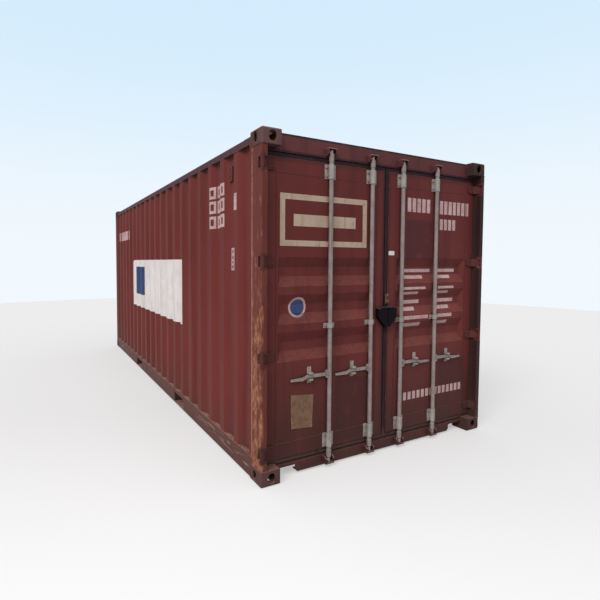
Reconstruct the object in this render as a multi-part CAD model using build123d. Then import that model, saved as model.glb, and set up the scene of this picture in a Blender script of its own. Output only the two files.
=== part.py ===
from build123d import *
import math
import os

# A twenty-foot dry freight container in millimetres: door end at +X, left side wall at -Y,
# ground at Z = 0

# Overall size and corner castings
length = 6058.0
width = 2438.0
height = 2591.0
casting_length = 178.0
casting_width = 162.0
casting_height = 118.0
casting_wall = 14.0
casting_inner_wall = 10.0
casting_plate = 28.0
casting_round = 18.0
slot_end_offset = 102.5
slot_side_offset = 89.5
slot_length = 124.5
slot_width = 63.5
end_aperture_width = 63.5
side_aperture_width = 51.0
face_aperture_height = 78.0
face_aperture_level = 58.0

# Base frame
base_lift = 15.0
bottom_rail_height = 158.0
bottom_rail_top_flange = 48.0
bottom_rail_bottom_flange = 30.0
bottom_rail_thickness = 4.5
bottom_rail_inset = 4.0
crossmember_height = 122.0
crossmember_flange = 45.0
crossmember_thickness = 4.0
crossmember_count = 16
crossmember_end_gap = 12.0
crossmember_pocket_gap = 6.0
pocket_spacing = 2050.0
pocket_width = 360.0
pocket_height = 112.0
pocket_plate = 6.0
pocket_strap_length = 200.0
pocket_strap = 4.0
floor_thickness = 28.0
floor_edge_gap = 2.0

# Upper frame
top_rail_size = 50.0
top_rail_wall = 3.0
top_rail_drop = 38.0
top_rail_inset = 6.0
header_drop = 4.0
header_height = 137.5
header_setback = 4.0
header_depth = 90.0
header_wall = 4.0
front_header_height = 88.0
front_header_depth = 60.0
front_inset = 10.0
roof_end_plate_length = 300.0
roof_end_plate_thickness = 4.0

# Corner posts
post_inset = 4.0
rear_post_length = 152.0
rear_post_width = 46.0
rear_post_wall = 6.0
rear_post_inner_wall = 12.0
front_post_length = 140.0
front_post_width = 110.0
front_post_return = 40.0
front_post_wall = 6.0

# Side walls, front wall and roof
side_crest = 74.0
side_slope = 70.0
side_recess = 73.0
side_end_flat = 30.0
side_depth = 36.0
side_sheet = 2.0
side_wall_inset = 7.0
front_crest = 110.0
front_slope = 18.0
front_recess = 104.0
front_end_flat = 110.0
front_depth = 45.0
front_sheet = 2.0
roof_crest = 91.0
roof_slope = 13.5
roof_pitch = 209.0
roof_depth = 20.0
roof_sheet = 2.0
roof_crest_end_gap = 95.0
roof_crest_end_slope = 40.0
vent_width = 64.0
vent_height = 118.0
vent_depth = 18.0
vent_drop = 143.0
vent_slot_count = 5
vent_slot_width = 42.0
vent_slot_height = 7.0
vent_slot_depth = 9.0

# Door opening and sill
sill_setback = 4.0
sill_face_top = 95.0
sill_step = 110.0
sill_riser_gap = 6.0
sill_thickness = 4.5
sill_flange = 70.0
sill_notch_width = 182.0
sill_notch_height = 60.0
sill_notch_chamfer = 20.0

# Door leaves
leaf_recess = 78.0
leaf_thickness = 50.0
leaf_sill_gap = 40.0
leaf_header_gap = 36.0
leaf_jamb_gap = 12.0
seam_offset = 25.0
seam_gap = 52.0
stile_width = 100.0
seam_stile_width = 80.0
leaf_rail_height = 115.0
leaf_frame_wall = 4.0
door_sheet = 2.0
rib_count = 3
rib_drop = 733.5
rib_pitch = 285.0
rib_height = 225.0
rib_slope = 75.0
rib_depth = 34.0
rib_end_gap = 14.0
gasket_thickness = 20.0
gasket_inset = 10.0
gasket_clearance = 5.0
gasket_casting_gap = 6.0
gasket_seam_reach = 22.4
gasket_bevel = 5.0

# Hinges
hinge_inset = 15.0
hinge_pin_radius = 8.0
hinge_pin_clearance = 0.05
hinge_knuckle_radius = 15.0
hinge_bottom_margin = 85.0
hinge_top_margin = 69.5
hinge_count = 4
hinge_knuckle_height = 78.0
hinge_end_play = 1.0
hinge_lug_thickness = 22.0
hinge_lug_depth = 32.0
hinge_notch_depth = 63.0
hinge_notch_lining = 12.0
hinge_arm_thickness = 12.0
hinge_arm_height = 70.0
hinge_bend_gap = 18.0
hinge_strap_length = 85.0
hinge_strap_lap = 3.0
hinge_strap_round = 14.0

# Lock rods, cams, guides and handles
rod_radius = 17.0
rod_standoff = 20.0
rod_inner_offset = 174.0
rod_outer_offset = 598.0
rod_sill_reach = 50.0
rod_header_reach = 58.5
rod_guide_clearance = 0.5
rod_collar_radius = 20.0
rod_collar_height = 66.0
rod_collar_bevel = 6.0
rod_collar_gap = 5.0
rod_neck_radius = 12.0
guide_wall = 5.0
guide_flange = 29.0
guide_height = 112.0
guide_margin = 14.0
mid_guide_height = 40.0
cam_reach = 26.0
cam_thickness = 14.0
cam_inset = 10.0
cam_nose_radius = 10.5
cam_setback = 3.5
keeper_clearance = 7.0
keeper_cheek = 8.0
keeper_height = 52.0
keeper_depth = 44.0
keeper_bevel = 18.0
keeper_end_gap = 8.0
handle_rise = 605.0
handle_length = 360.0
handle_height = 26.0
handle_tip_height = 16.0
handle_thickness = 10.0
handle_standoff = 12.0
handle_jog_gap = 6.0
handle_jog_length = 40.0
handle_jog_drop = 16.0
handle_hub_reach = 38.0
handle_hub_height = 64.0
handle_hub_thickness = 24.0
handle_hub_round = 14.0
handle_pivot_offset = 24.0
handle_pivot_radius = 10.0
handle_pivot_height = 5.0
catch_offset = 185.0
catch_width = 36.0
catch_plate = 6.0
catch_gap = 6.0
catch_jaw = 12.0
catch_reach = 38.0
catch_foot = 22.0
catch_crown = 43.0
catch_round = 8.0

# Lock box over the seam
lock_box_left_reach = 105.0
lock_box_right_reach = 100.0
lock_box_drop = 48.0
lock_box_height = 158.0
lock_box_taper = 83.0
lock_box_foot = 50.0
lock_box_depth = 42.0
lock_box_wall = 4.0
lock_box_gap = 8.0
lock_box_lid_reach = 60.0
lock_box_lid_lip = 6.0
lock_box_lid_thickness = 8.0

# How far a cutter runs past the face that it cuts, and the least distance that counts
overcut = 1.0
hair = 0.01

# Levels and planes that follow from the sizes above
half_length = length / 2
half_width = width / 2
bottom_rail_top = base_lift + bottom_rail_height
crossmember_bottom = base_lift + bottom_rail_thickness
floor_bottom = crossmember_bottom + crossmember_height
floor_top = floor_bottom + floor_thickness
post_bottom = casting_height
post_top = height - casting_height
header_top = height - header_drop
header_bottom = header_top - header_height
rail_top = height - top_rail_drop
vent_level = rail_top - top_rail_size - vent_drop
casting_inner_x = half_length - casting_length
casting_inner_y = half_width - casting_width
leaf_face = half_length - leaf_recess
leaf_back = leaf_face - leaf_thickness
header_face = leaf_face - header_setback
sill_face = leaf_face - sill_setback
jamb_y = half_width - post_inset - rear_post_width
rear_post_end = half_length - post_inset
rear_post_start = rear_post_end - rear_post_length
front_post_end = -half_length + post_inset
front_post_start = front_post_end + front_post_length
bottom_rail_face = half_width - bottom_rail_inset
top_rail_face = half_width - top_rail_inset
side_wall_face = half_width - side_wall_inset
front_face = half_length - front_inset
hinge_x = half_length - hinge_inset
hinge_y = half_width - hinge_inset
rod_x = leaf_face + rod_standoff
sill_riser = leaf_back - sill_riser_gap
leaf_bottom = sill_step + leaf_sill_gap
leaf_top = header_bottom - leaf_header_gap
rib_top = leaf_top - rib_drop
rod_bottom = sill_face_top - rod_sill_reach
rod_top = header_bottom + rod_header_reach
handle_level = leaf_bottom + handle_rise
guide_land = rib_top - rib_height - rib_pitch - (rib_pitch - rib_height) / 2
lock_box_bottom = guide_land - lock_box_drop
slot_x = half_length - slot_end_offset
slot_y = half_width - slot_side_offset
hinge_bottom = leaf_bottom + hinge_bottom_margin
hinge_pitch = (leaf_top - hinge_top_margin - hinge_bottom) / (hinge_count - 1)
hinge_levels = [hinge_bottom + i * hinge_pitch for i in range(hinge_count)]
pocket_centres = (-pocket_spacing / 2, pocket_spacing / 2)
rod_offsets = (-rod_outer_offset, -rod_inner_offset, rod_inner_offset, rod_outer_offset)
rod_places = [seam_offset + offset for offset in rod_offsets]


def block(x0, x1, y0, y1, z0, z1):
    """A box between two corners."""
    middle = Pos((x0 + x1) / 2, (y0 + y1) / 2, (z0 + z1) / 2)
    return middle * Box(abs(x1 - x0), abs(y1 - y0), abs(z1 - z0))


def place(axis, level, a, b):
    """A point with two coordinates in the plane across an axis."""
    if axis == "X":
        return Vector(level, a, b)
    if axis == "Y":
        return Vector(a, level, b)
    return Vector(a, b, level)


def prism(points, axis, start, end):
    """A closed outline drawn across an axis and carried from start to end."""
    wire = Wire.make_polygon([place(axis, start, a, b) for a, b in points], close=True)
    return Solid.extrude(Face(wire), place(axis, end - start, 0, 0))


def sheet(points, thickness):
    """The outline of a bent sheet: a line and its parallel, with mitred bends."""
    def normal(p, q):
        run = math.hypot(q[0] - p[0], q[1] - p[1])
        return (p[1] - q[1]) / run, (q[0] - p[0]) / run
    sides = [normal(p, q) for p, q in zip(points, points[1:])]
    parallel = []
    for i, (a, b) in enumerate(points):
        before = sides[max(i - 1, 0)]
        after = sides[min(i, len(sides) - 1)]
        spread = 1 + before[0] * after[0] + before[1] * after[1]
        shift_a = thickness * (before[0] + after[0]) / spread
        shift_b = thickness * (before[1] + after[1]) / spread
        parallel.append((a + shift_a, b + shift_b))
    return points + parallel[::-1]


def tapered(axis, start, end, centre, half_start, half_end):
    """A four-sided pressing that narrows from one level to another."""
    wires = []
    for level, (half_a, half_b) in ((start, half_start), (end, half_end)):
        corners = [(-half_a, -half_b), (half_a, -half_b), (half_a, half_b), (-half_a, half_b)]
        ring = [place(axis, level, centre[0] + a, centre[1] + b) for a, b in corners]
        wires.append(Wire.make_polygon(ring, close=True))
    return Solid.make_loft(wires, True)


def both_sides(solid):
    """A piece and its mirror image across the middle of the container."""
    return solid, mirror(solid, about=Plane.XZ)


def joined(solids):
    """Solids fused into one piece."""
    first, *rest = solids
    return first.fuse(*rest).clean() if rest else first


def save(name, solids):
    """Write one named sub-part."""
    solids = solids if isinstance(solids, (list, tuple)) else [solids]
    shape = solids[0] if len(solids) == 1 else Compound(children=list(solids))
    export_step(shape, f"parts/{name}.step")


def obround(axis, centre, long, short, start, end, upright):
    """A hole cutter with round ends, long way along the second coordinate when upright."""
    across, along = (short, long) if upright else (long, short)
    half = (long - short) / 2
    ends = [(0, -half), (0, half)] if upright else [(-half, 0), (half, 0)]
    core_a = across / 2 if upright else half
    core_b = half if upright else along / 2
    a, b = centre
    cutter = [prism([(a - core_a, b - core_b), (a + core_a, b - core_b),
                     (a + core_a, b + core_b), (a - core_a, b + core_b)], axis, start, end)]
    for shift_a, shift_b in ends:
        round_end = Face(Wire.make_circle(short / 2, Plane(
            origin=place(axis, start, a + shift_a, b + shift_b), z_dir=place(axis, 1, 0, 0))))
        cutter.append(Solid.extrude(round_end, place(axis, end - start, 0, 0)))
    return joined(cutter)


# Corner castings

def corner_casting(x_side, y_side, at_top):
    """A hollow casting with a twist-lock slot, an end aperture and a side aperture."""
    body = block(casting_inner_x, half_length, casting_inner_y, half_width, 0, casting_height)
    body = fillet([edge for edge in body.edges() if outer_faces(edge) >= 2], casting_round)
    cavity = block(casting_inner_x + casting_inner_wall, half_length - casting_wall,
                   casting_inner_y + casting_inner_wall, half_width - casting_wall,
                   casting_plate, casting_height - casting_inner_wall)
    slot = obround("Z", (slot_x, slot_y), slot_length, slot_width, -overcut,
                   casting_plate + overcut, False)
    end_hole = obround("X", (slot_y, face_aperture_level), face_aperture_height,
                       end_aperture_width, half_length - casting_wall, half_length + overcut, True)
    side_hole = obround("Y", (slot_x, face_aperture_level), face_aperture_height,
                        side_aperture_width, half_width - casting_wall, half_width + overcut, True)
    casting = body - cavity - slot - end_hole - side_hole
    if at_top:
        casting = Pos(0, 0, height) * mirror(casting, about=Plane.XY)
    if x_side < 0:
        casting = mirror(casting, about=Plane.YZ)
    if y_side < 0:
        casting = mirror(casting, about=Plane.XZ)
    return casting


def outer_faces(edge):
    """How many of the casting's three outer faces an edge lies on."""
    middle = edge.center()
    on_end = abs(middle.X - half_length) < hair
    on_side = abs(middle.Y - half_width) < hair
    on_bottom = abs(middle.Z) < hair
    return on_end + on_side + on_bottom


# Base frame

def bottom_side_rail():
    """A bent channel along the right side, cut for the forklift pockets."""
    outline = sheet([(bottom_rail_face - bottom_rail_bottom_flange, base_lift),
                     (bottom_rail_face, base_lift),
                     (bottom_rail_face, bottom_rail_top),
                     (bottom_rail_face - bottom_rail_top_flange, bottom_rail_top)],
                    bottom_rail_thickness)
    rail = prism(outline, "X", front_post_start, rear_post_start)
    for x0, x1 in ((-half_length, -casting_inner_x), (casting_inner_x, half_length)):
        rail = rail - block(x0, x1, casting_inner_y, half_width, 0, casting_height)
    for centre in pocket_centres:
        rail = rail - block(centre - pocket_width / 2, centre + pocket_width / 2,
                            bottom_rail_face - 2 * bottom_rail_thickness, bottom_rail_face + overcut,
                            crossmember_bottom, crossmember_bottom + pocket_height)
    return rail


def crossmember_places():
    """Even places along the floor that keep clear of the forklift pockets."""
    start = -casting_inner_x + crossmember_end_gap
    end = casting_inner_x - crossmember_end_gap - crossmember_flange
    pitch = (end - start) / (crossmember_count - 1)
    keep_off = pocket_width / 2 + pocket_plate + crossmember_pocket_gap
    places = []
    for i in range(crossmember_count):
        x = start + i * pitch
        for centre in pocket_centres:
            if centre - keep_off - crossmember_flange < x < centre + keep_off:
                x = centre + keep_off if x > centre - crossmember_flange / 2 else (
                    centre - keep_off - crossmember_flange)
        places.append(x)
    return places


def crossmembers():
    """Pressed channels across the base, resting on the side rails' lower flanges."""
    reach = bottom_rail_face - bottom_rail_thickness
    top = floor_bottom
    bars = []
    for x in crossmember_places():
        outline = sheet([(x + crossmember_flange, crossmember_bottom), (x, crossmember_bottom),
                         (x, top), (x + crossmember_flange, top)], -crossmember_thickness)
        bars.append(prism(outline, "Y", -reach, reach))
    return bars


def forklift_pocket(centre):
    """A tunnel through the base with bottom straps near each side."""
    reach = bottom_rail_face - bottom_rail_thickness
    low = crossmember_bottom
    top = low + pocket_height
    left = centre - pocket_width / 2
    right = centre + pocket_width / 2
    outline = sheet([(left, low), (left, top), (right, top), (right, low)], pocket_plate)
    tunnel = prism(outline, "Y", -reach, reach)
    strap_start = bottom_rail_face - bottom_rail_bottom_flange
    straps = [block(left - pocket_plate, right + pocket_plate, side * strap_start,
                    side * (strap_start - pocket_strap_length), low, low - pocket_strap)
              for side in (-1, 1)]
    return joined([tunnel] + straps)


def floor_panel():
    """The plywood floor between the side rails, from the front sill to the door sill."""
    edge = bottom_rail_face - bottom_rail_top_flange - floor_edge_gap
    return block(-front_face + front_header_depth, sill_riser - sill_thickness, -edge, edge,
                 floor_bottom, floor_top)


def front_sill():
    """Two bars between and over the front bottom castings."""
    back = -front_face + front_header_depth
    post_edge = half_width - post_inset - front_post_width
    lower = block(-front_face, back, -casting_inner_y, casting_inner_y, base_lift, floor_top)
    hollow = block(-front_face + header_wall, back + overcut, -casting_inner_y, casting_inner_y,
                   base_lift + header_wall, floor_top - header_wall)
    upper = block(-front_face, back, -post_edge, post_edge, casting_height, floor_top)
    upper_hollow = block(-front_face + header_wall, back + overcut, -post_edge, post_edge,
                         casting_height + header_wall, floor_top - header_wall)
    return joined([lower - hollow, upper - upper_hollow])


def door_sill():
    """A bent sill with a drained ledge under the leaves and a riser up to the floor."""
    points = [(sill_riser, floor_top), (sill_riser, sill_step), (sill_face, sill_face_top),
              (sill_face, base_lift), (sill_face - sill_flange, base_lift)]
    sill = prism(sheet(points, -sill_thickness), "Y", -casting_inner_y, casting_inner_y)
    for side in (-1, 1):
        start = side * (casting_inner_y - sill_notch_width)
        end = side * (casting_inner_y + overcut)
        notch = [(start, base_lift + sill_notch_height), (start, base_lift + sill_notch_chamfer),
                 (start - side * (sill_notch_chamfer + base_lift), 0), (end, 0),
                 (end, base_lift + sill_notch_height)]
        sill = sill - prism(notch, "X", sill_face - sill_flange - overcut, sill_face + overcut)
    wings = [block(sill_riser - sill_thickness, sill_riser, side * casting_inner_y,
                   side * jamb_y, casting_height, floor_top) for side in (-1, 1)]
    return joined([sill] + wings)


# Upper frame

def top_side_rail():
    """A square tube along the top of the right side."""
    inner = top_rail_face - top_rail_size
    tube = block(-casting_inner_x, casting_inner_x, inner, top_rail_face,
                 rail_top - top_rail_size, rail_top)
    bore = block(-casting_inner_x, casting_inner_x, inner + top_rail_wall,
                 top_rail_face - top_rail_wall, rail_top - top_rail_size + top_rail_wall,
                 rail_top - top_rail_wall)
    return tube - bore


def roof_end_plate(back_edge, middle_start, middle_end):
    """A flat plate from rail to rail with a tongue between the castings."""
    wide = block(back_edge, middle_start, -top_rail_face, top_rail_face, rail_top,
                 rail_top + roof_end_plate_thickness)
    tongue = block(middle_start, middle_end, -casting_inner_y, casting_inner_y, rail_top,
                   rail_top + roof_end_plate_thickness)
    return joined([wide, tongue])


def door_header():
    """A box beam between the castings, with a lower lip to the posts and a roof plate."""
    back = header_face - header_depth
    beam = block(back, header_face, -casting_inner_y, casting_inner_y, header_bottom, header_top)
    bore = block(back + header_wall, header_face - header_wall, -casting_inner_y, casting_inner_y,
                 header_bottom + header_wall, header_top - header_wall)
    lip = block(back, header_face, -jamb_y, jamb_y, header_bottom, post_top)
    lip_bore = block(back + header_wall, header_face - header_wall, -jamb_y, jamb_y,
                     header_bottom + header_wall, post_top - header_wall)
    plate = roof_end_plate(half_length - roof_end_plate_length, casting_inner_x, back)
    return joined([joined([beam, lip]) - bore - lip_bore, plate])


def front_header():
    """A box beam across the top of the front end, with its roof plate."""
    back = -front_face + front_header_depth
    low = post_top
    high = post_top + front_header_height
    beam = block(-front_face, back, -casting_inner_y, casting_inner_y, low, high)
    bore = block(-front_face + header_wall, back - header_wall, -casting_inner_y,
                 casting_inner_y, low + header_wall, high - header_wall)
    plate = roof_end_plate(-half_length + roof_end_plate_length, -casting_inner_x, back)
    return joined([beam - bore, plate])


# Corner posts

def rear_post():
    """The right door post: a tube with a thick jamb, notched and lined at each hinge."""
    outer = jamb_y + rear_post_width
    post = block(rear_post_start, rear_post_end, jamb_y, outer, post_bottom, post_top)
    post = post - block(rear_post_start + rear_post_wall, rear_post_end - rear_post_wall,
                        jamb_y + rear_post_inner_wall, outer - rear_post_wall,
                        post_bottom, post_top)
    gap = hinge_knuckle_height / 2 + hinge_end_play
    notch_x = half_length - hinge_notch_depth
    lug_x = rear_post_end - hinge_lug_depth
    for z in hinge_levels:
        lining = block(notch_x - hinge_notch_lining, rear_post_end - rear_post_wall, jamb_y, outer,
                       z - gap - hinge_notch_lining, z + gap + hinge_notch_lining)
        notch = block(notch_x, half_length + overcut, jamb_y - overcut, half_width + overcut,
                      z - gap, z + gap)
        seat = block(lug_x, half_length + overcut, jamb_y - overcut, half_width + overcut,
                     z - gap - hinge_lug_thickness, z + gap + hinge_lug_thickness)
        post = post + lining - notch - seat
    return post


def hinge_lugs():
    """The right post's four lug pairs, each held together by its pin."""
    gap = hinge_knuckle_height / 2 + hinge_end_play
    outer = jamb_y + rear_post_width
    pairs = []
    for z in hinge_levels:
        reach = gap + hinge_lug_thickness
        pin = Pos(hinge_x, hinge_y, z) * Cylinder(hinge_pin_radius, 2 * reach)
        lugs = []
        for side in (-1, 1):
            low = z + side * gap
            high = z + side * reach
            plate = block(rear_post_end - hinge_lug_depth, rear_post_end, jamb_y, outer, low, high)
            eye = Pos(hinge_x, hinge_y, (low + high) / 2) * Cylinder(
                hinge_knuckle_radius, hinge_lug_thickness)
            lugs += [plate, eye]
        pairs.append(joined([pin] + lugs))
    return pairs


def front_post():
    """The right front post: one folded section open to the inside."""
    outer = half_width - post_inset
    points = [(front_post_start, outer - front_post_return), (front_post_start, outer),
              (front_post_end, outer), (front_post_end, outer - front_post_width),
              (front_post_end + front_post_return, outer - front_post_width)]
    return prism(sheet(points, front_post_wall), "Z", post_bottom, post_top)


# Walls and roof

def corrugation(start, end, face, depth, crest, slope, recess, least_flat):
    """Points along a corrugated sheet, seen edge on, with equal flats at both ends."""
    pitch = crest + recess + 2 * slope
    count = int((end - start + crest - 2 * least_flat) // pitch)
    margin = (end - start - count * pitch + crest) / 2
    points = [(start, face)]
    for i in range(count):
        x = start + margin + i * pitch
        points += [(x, face), (x + slope, face - depth),
                   (x + slope + recess, face - depth), (x + 2 * slope + recess, face)]
    return points + [(end, face)]


def side_wall():
    """The right side's corrugated sheet between the posts and the rails."""
    line = corrugation(front_post_start, rear_post_start, side_wall_face,
                       side_depth - side_sheet, side_crest, side_slope, side_recess, side_end_flat)
    wall = prism(sheet(line, -side_sheet), "Z", bottom_rail_top, rail_top - top_rail_size)
    for x0, x1 in ((-half_length, -casting_inner_x), (casting_inner_x, half_length)):
        wall = wall - block(x0, x1, casting_inner_y, half_width, post_top, height)
    return wall


def front_wall():
    """The corrugated sheet of the closed end."""
    edge = half_width - post_inset - front_post_width
    line = corrugation(-edge, edge, front_face, front_depth - front_sheet, front_crest,
                       front_slope, front_recess, front_end_flat)
    outline = [(-b, a) for a, b in sheet(line, -front_sheet)]
    return prism(outline, "Z", floor_top, post_top)


def roof_panel():
    """A flat sheet with closed transverse pressings."""
    start = -half_length + roof_end_plate_length
    end = half_length - roof_end_plate_length
    count = int((end - start) // roof_pitch)
    first = (start + end - (count - 1) * roof_pitch) / 2
    reach = top_rail_face - roof_crest_end_gap
    roof = block(start, end, -top_rail_face, top_rail_face, rail_top, rail_top + roof_sheet)
    crests = []
    hollows = []
    for i in range(count):
        x = first + i * roof_pitch
        base = (roof_crest / 2 + roof_slope, reach)
        crown = (roof_crest / 2, reach - roof_crest_end_slope)
        crests.append(tapered("Z", rail_top, rail_top + roof_depth, (x, 0), base, crown))
        inner_base = (base[0] - roof_sheet, base[1] - roof_sheet)
        inner_crown = (crown[0] - roof_sheet, crown[1] - roof_sheet)
        hollows.append(tapered("Z", rail_top - hair, rail_top + roof_depth - roof_sheet, (x, 0),
                               inner_base, inner_crown))
    return roof.fuse(*crests).cut(*hollows)


def ventilator(x, side):
    """A small slotted cover in a recess of a side wall."""
    seat = side_wall_face - side_depth + side_sheet
    body = block(x - vent_width / 2, x + vent_width / 2, seat, seat + vent_depth,
                 vent_level - vent_height / 2, vent_level + vent_height / 2)
    pitch = vent_height / (vent_slot_count + 1)
    front = seat + vent_depth
    for i in range(vent_slot_count):
        z = vent_level - vent_height / 2 + (i + 1) * pitch
        body = body - block(x - vent_slot_width / 2, x + vent_slot_width / 2,
                            front - vent_slot_depth, front + overcut,
                            z - vent_slot_height / 2, z + vent_slot_height / 2)
    return body if side > 0 else mirror(body, about=Plane.XZ)


def recess_centres():
    """Places along the length where the side walls are pressed in."""
    line = corrugation(front_post_start, rear_post_start, side_wall_face, side_depth,
                       side_crest, side_slope, side_recess, side_end_flat)
    inner = [a for a, b in line if b < side_wall_face]
    return [(p + q) / 2 for p, q in zip(inner[::2], inner[1::2])]


# Door leaves

def leaf_edges(side):
    """The leaf's hinge edge and seam edge, as Y values."""
    hinge_edge = side * (jamb_y - leaf_jamb_gap)
    seam_edge = seam_offset + side * seam_gap / 2
    return hinge_edge, seam_edge


def panel_edges(side):
    """The sheet's edges between the leaf's two stiles, as Y values."""
    hinge_edge, seam_edge = leaf_edges(side)
    return sorted((hinge_edge - side * stile_width, seam_edge + side * seam_stile_width))


def leaf_frame(side):
    """Four box bars welded into the leaf's frame."""
    low, high = sorted(leaf_edges(side))
    inner_low, inner_high = panel_edges(side)
    wall = leaf_frame_wall
    bars = []
    for start, end in ((low, inner_low), (inner_high, high)):
        bar = block(leaf_back, leaf_face, start, end, leaf_bottom, leaf_top)
        bore = block(leaf_back + wall, leaf_face - wall, start + wall, end - wall,
                     leaf_bottom, leaf_top)
        bars.append(bar - bore)
    for edge in (leaf_bottom, leaf_top - leaf_rail_height):
        bar = block(leaf_back, leaf_face, inner_low, inner_high, edge, edge + leaf_rail_height)
        bore = block(leaf_back + wall, leaf_face - wall, inner_low, inner_high,
                     edge + wall, edge + leaf_rail_height - wall)
        bars.append(bar - bore)
    return joined(bars)


def leaf_panel(side):
    """The leaf's sheet, pressed in along three horizontal ribs."""
    low, high = panel_edges(side)
    middle = (low + high) / 2
    half = (high - low) / 2 - rib_end_gap
    bottom = leaf_bottom + leaf_rail_height
    top = leaf_top - leaf_rail_height
    panel = block(leaf_face - door_sheet, leaf_face, low, high, bottom, top)
    pans = []
    hollows = []
    for i in range(rib_count):
        z = rib_top - i * rib_pitch - rib_height / 2
        mouth = (half, rib_height / 2)
        base = (half - rib_depth, rib_height / 2 - rib_slope)
        pans.append(tapered("X", leaf_face, leaf_face - rib_depth - door_sheet, (middle, z),
                            mouth, base))
        inner_mouth = (mouth[0] - door_sheet, mouth[1] - door_sheet)
        inner_base = (base[0] - door_sheet, base[1] - door_sheet)
        hollows.append(tapered("X", leaf_face + hair, leaf_face - rib_depth, (middle, z),
                               inner_mouth, inner_base))
    return panel.fuse(*pans).cut(*hollows)


def leaf_gasket(side):
    """The bevelled rubber seal round the leaf, stepped up where it passes over the casting."""
    hinge_edge, seam_edge = leaf_edges(side)
    outer = side * (jamb_y - gasket_clearance)
    inner = seam_edge - side * gasket_seam_reach
    top = header_bottom - gasket_clearance
    step_level = casting_height + gasket_casting_gap
    step_y = side * (casting_inner_y - gasket_casting_gap)
    front = leaf_face - gasket_inset
    outline = [(outer, step_level), (step_y, step_level), (step_y, sill_step),
               (inner, sill_step), (inner, top), (outer, top)]
    ring = prism(outline, "X", front - gasket_thickness, front)
    lip = [edge for edge in ring.edges() if abs(edge.center().X - front) < hair]
    return chamfer(lip, gasket_bevel) - block(front - gasket_thickness - overcut, front + overcut,
                                              hinge_edge, seam_edge, leaf_bottom, leaf_top)


def hinge_blade(side, z):
    """A forged blade: knuckle on the pin, a bent arm and a strap on the leaf."""
    strap_middle = leaf_face + hinge_arm_thickness / 2
    hinge_edge = jamb_y - leaf_jamb_gap
    bend_y = hinge_edge - hinge_bend_gap
    run_x = strap_middle - hinge_x
    run_y = bend_y - hinge_y
    reach = math.hypot(run_x, run_y)
    half = hinge_arm_height / 2
    knuckle = Pos(hinge_x, hinge_y, z) * Cylinder(hinge_knuckle_radius, hinge_knuckle_height)
    shift_x = -run_y / reach * hinge_arm_thickness / 2
    shift_y = run_x / reach * hinge_arm_thickness / 2
    arm = prism([(hinge_x + shift_x, hinge_y + shift_y), (hinge_x - shift_x, hinge_y - shift_y),
                 (strap_middle - shift_x, bend_y - shift_y),
                 (strap_middle + shift_x, bend_y + shift_y)], "Z", z - half, z + half)
    strap = block(leaf_face, leaf_face + hinge_arm_thickness, hinge_edge - hinge_strap_length,
                  bend_y + hinge_strap_lap, z - half, z + half)
    strap = fillet(strap.edges().filter_by(Axis.X).sort_by(Axis.Y)[:2], hinge_strap_round)
    bore = Pos(hinge_x, hinge_y, z) * Cylinder(hinge_pin_radius + hinge_pin_clearance,
                                               hinge_knuckle_height)
    blade = joined([knuckle, arm, strap]) - bore
    return blade if side > 0 else mirror(blade, about=Plane.XZ)


def rod_guide(y, z, tall):
    """A saddle over a lock rod with a flange on each side."""
    inner = rod_radius + rod_guide_clearance
    outer = inner + guide_wall
    saddle = Pos(rod_x, y, z) * Cylinder(outer, tall)
    saddle = saddle + block(leaf_face, rod_x, y - outer, y + outer, z - tall / 2, z + tall / 2)
    saddle = saddle - block(leaf_face - 2 * outer, leaf_face, y - 2 * outer, y + 2 * outer,
                            z - tall, z + tall)
    flanges = block(leaf_face, leaf_face + guide_wall, y - outer - guide_flange,
                    y + outer + guide_flange, z - tall / 2, z + tall / 2)
    channel = block(leaf_face - overcut, rod_x, y - inner, y + inner, z - tall, z + tall)
    bore = Pos(rod_x, y, z) * Cylinder(inner, 2 * tall)
    return joined([saddle, flanges]) - channel - bore


def handle_catch(y):
    """A tall plate with a jaw over and a jaw under the handle."""
    top = handle_level + handle_height / 2 + catch_gap
    low = handle_level - handle_height / 2 - catch_gap
    half = catch_width / 2
    plate = block(leaf_face, leaf_face + catch_plate, y - half, y + half,
                  low - catch_jaw - catch_foot, top + catch_jaw + catch_crown)
    plate = fillet(plate.edges().filter_by(Axis.X), catch_round)
    upper = block(leaf_face, leaf_face + catch_reach, y - half, y + half, top, top + catch_jaw)
    lower = block(leaf_face, leaf_face + catch_reach, y - half, y + half, low - catch_jaw, low)
    return joined([plate, upper, lower])


def leaf_fittings(side):
    """Rod guides and handle catches of one leaf."""
    pieces = []
    guide_top = leaf_top - guide_margin - guide_height / 2
    guide_low = leaf_bottom + guide_margin + guide_height / 2
    for offset in (rod_inner_offset, rod_outer_offset):
        y = seam_offset + side * offset
        pieces.append(rod_guide(y, guide_top, guide_height))
        pieces.append(rod_guide(y, guide_land, mid_guide_height))
        pieces.append(rod_guide(y, guide_low, guide_height))
        pieces.append(handle_catch(y + side * catch_offset))
    return pieces


def lock_box(side):
    """Half of the padlock cover: bent walls, a front plate and a lid, open to the seam and below."""
    start = seam_offset + side * lock_box_gap / 2
    reach = lock_box_left_reach if side < 0 else lock_box_right_reach
    end = seam_offset + side * reach
    top = lock_box_bottom + lock_box_height
    front = leaf_face + lock_box_depth
    line = [(seam_offset + side * lock_box_foot / 2, lock_box_bottom),
            (end, lock_box_bottom + lock_box_taper), (end, top), (start, top)]
    walls = prism(sheet(line, side * lock_box_wall), "X", leaf_face, front)
    plate = prism(line + [(start, lock_box_bottom)], "X", front - lock_box_wall, front)
    lid = block(leaf_face, front + lock_box_lid_lip, start,
                seam_offset + side * lock_box_lid_reach, top, top + lock_box_lid_thickness)
    return joined([walls, plate, lid])


# Lock rods

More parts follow.
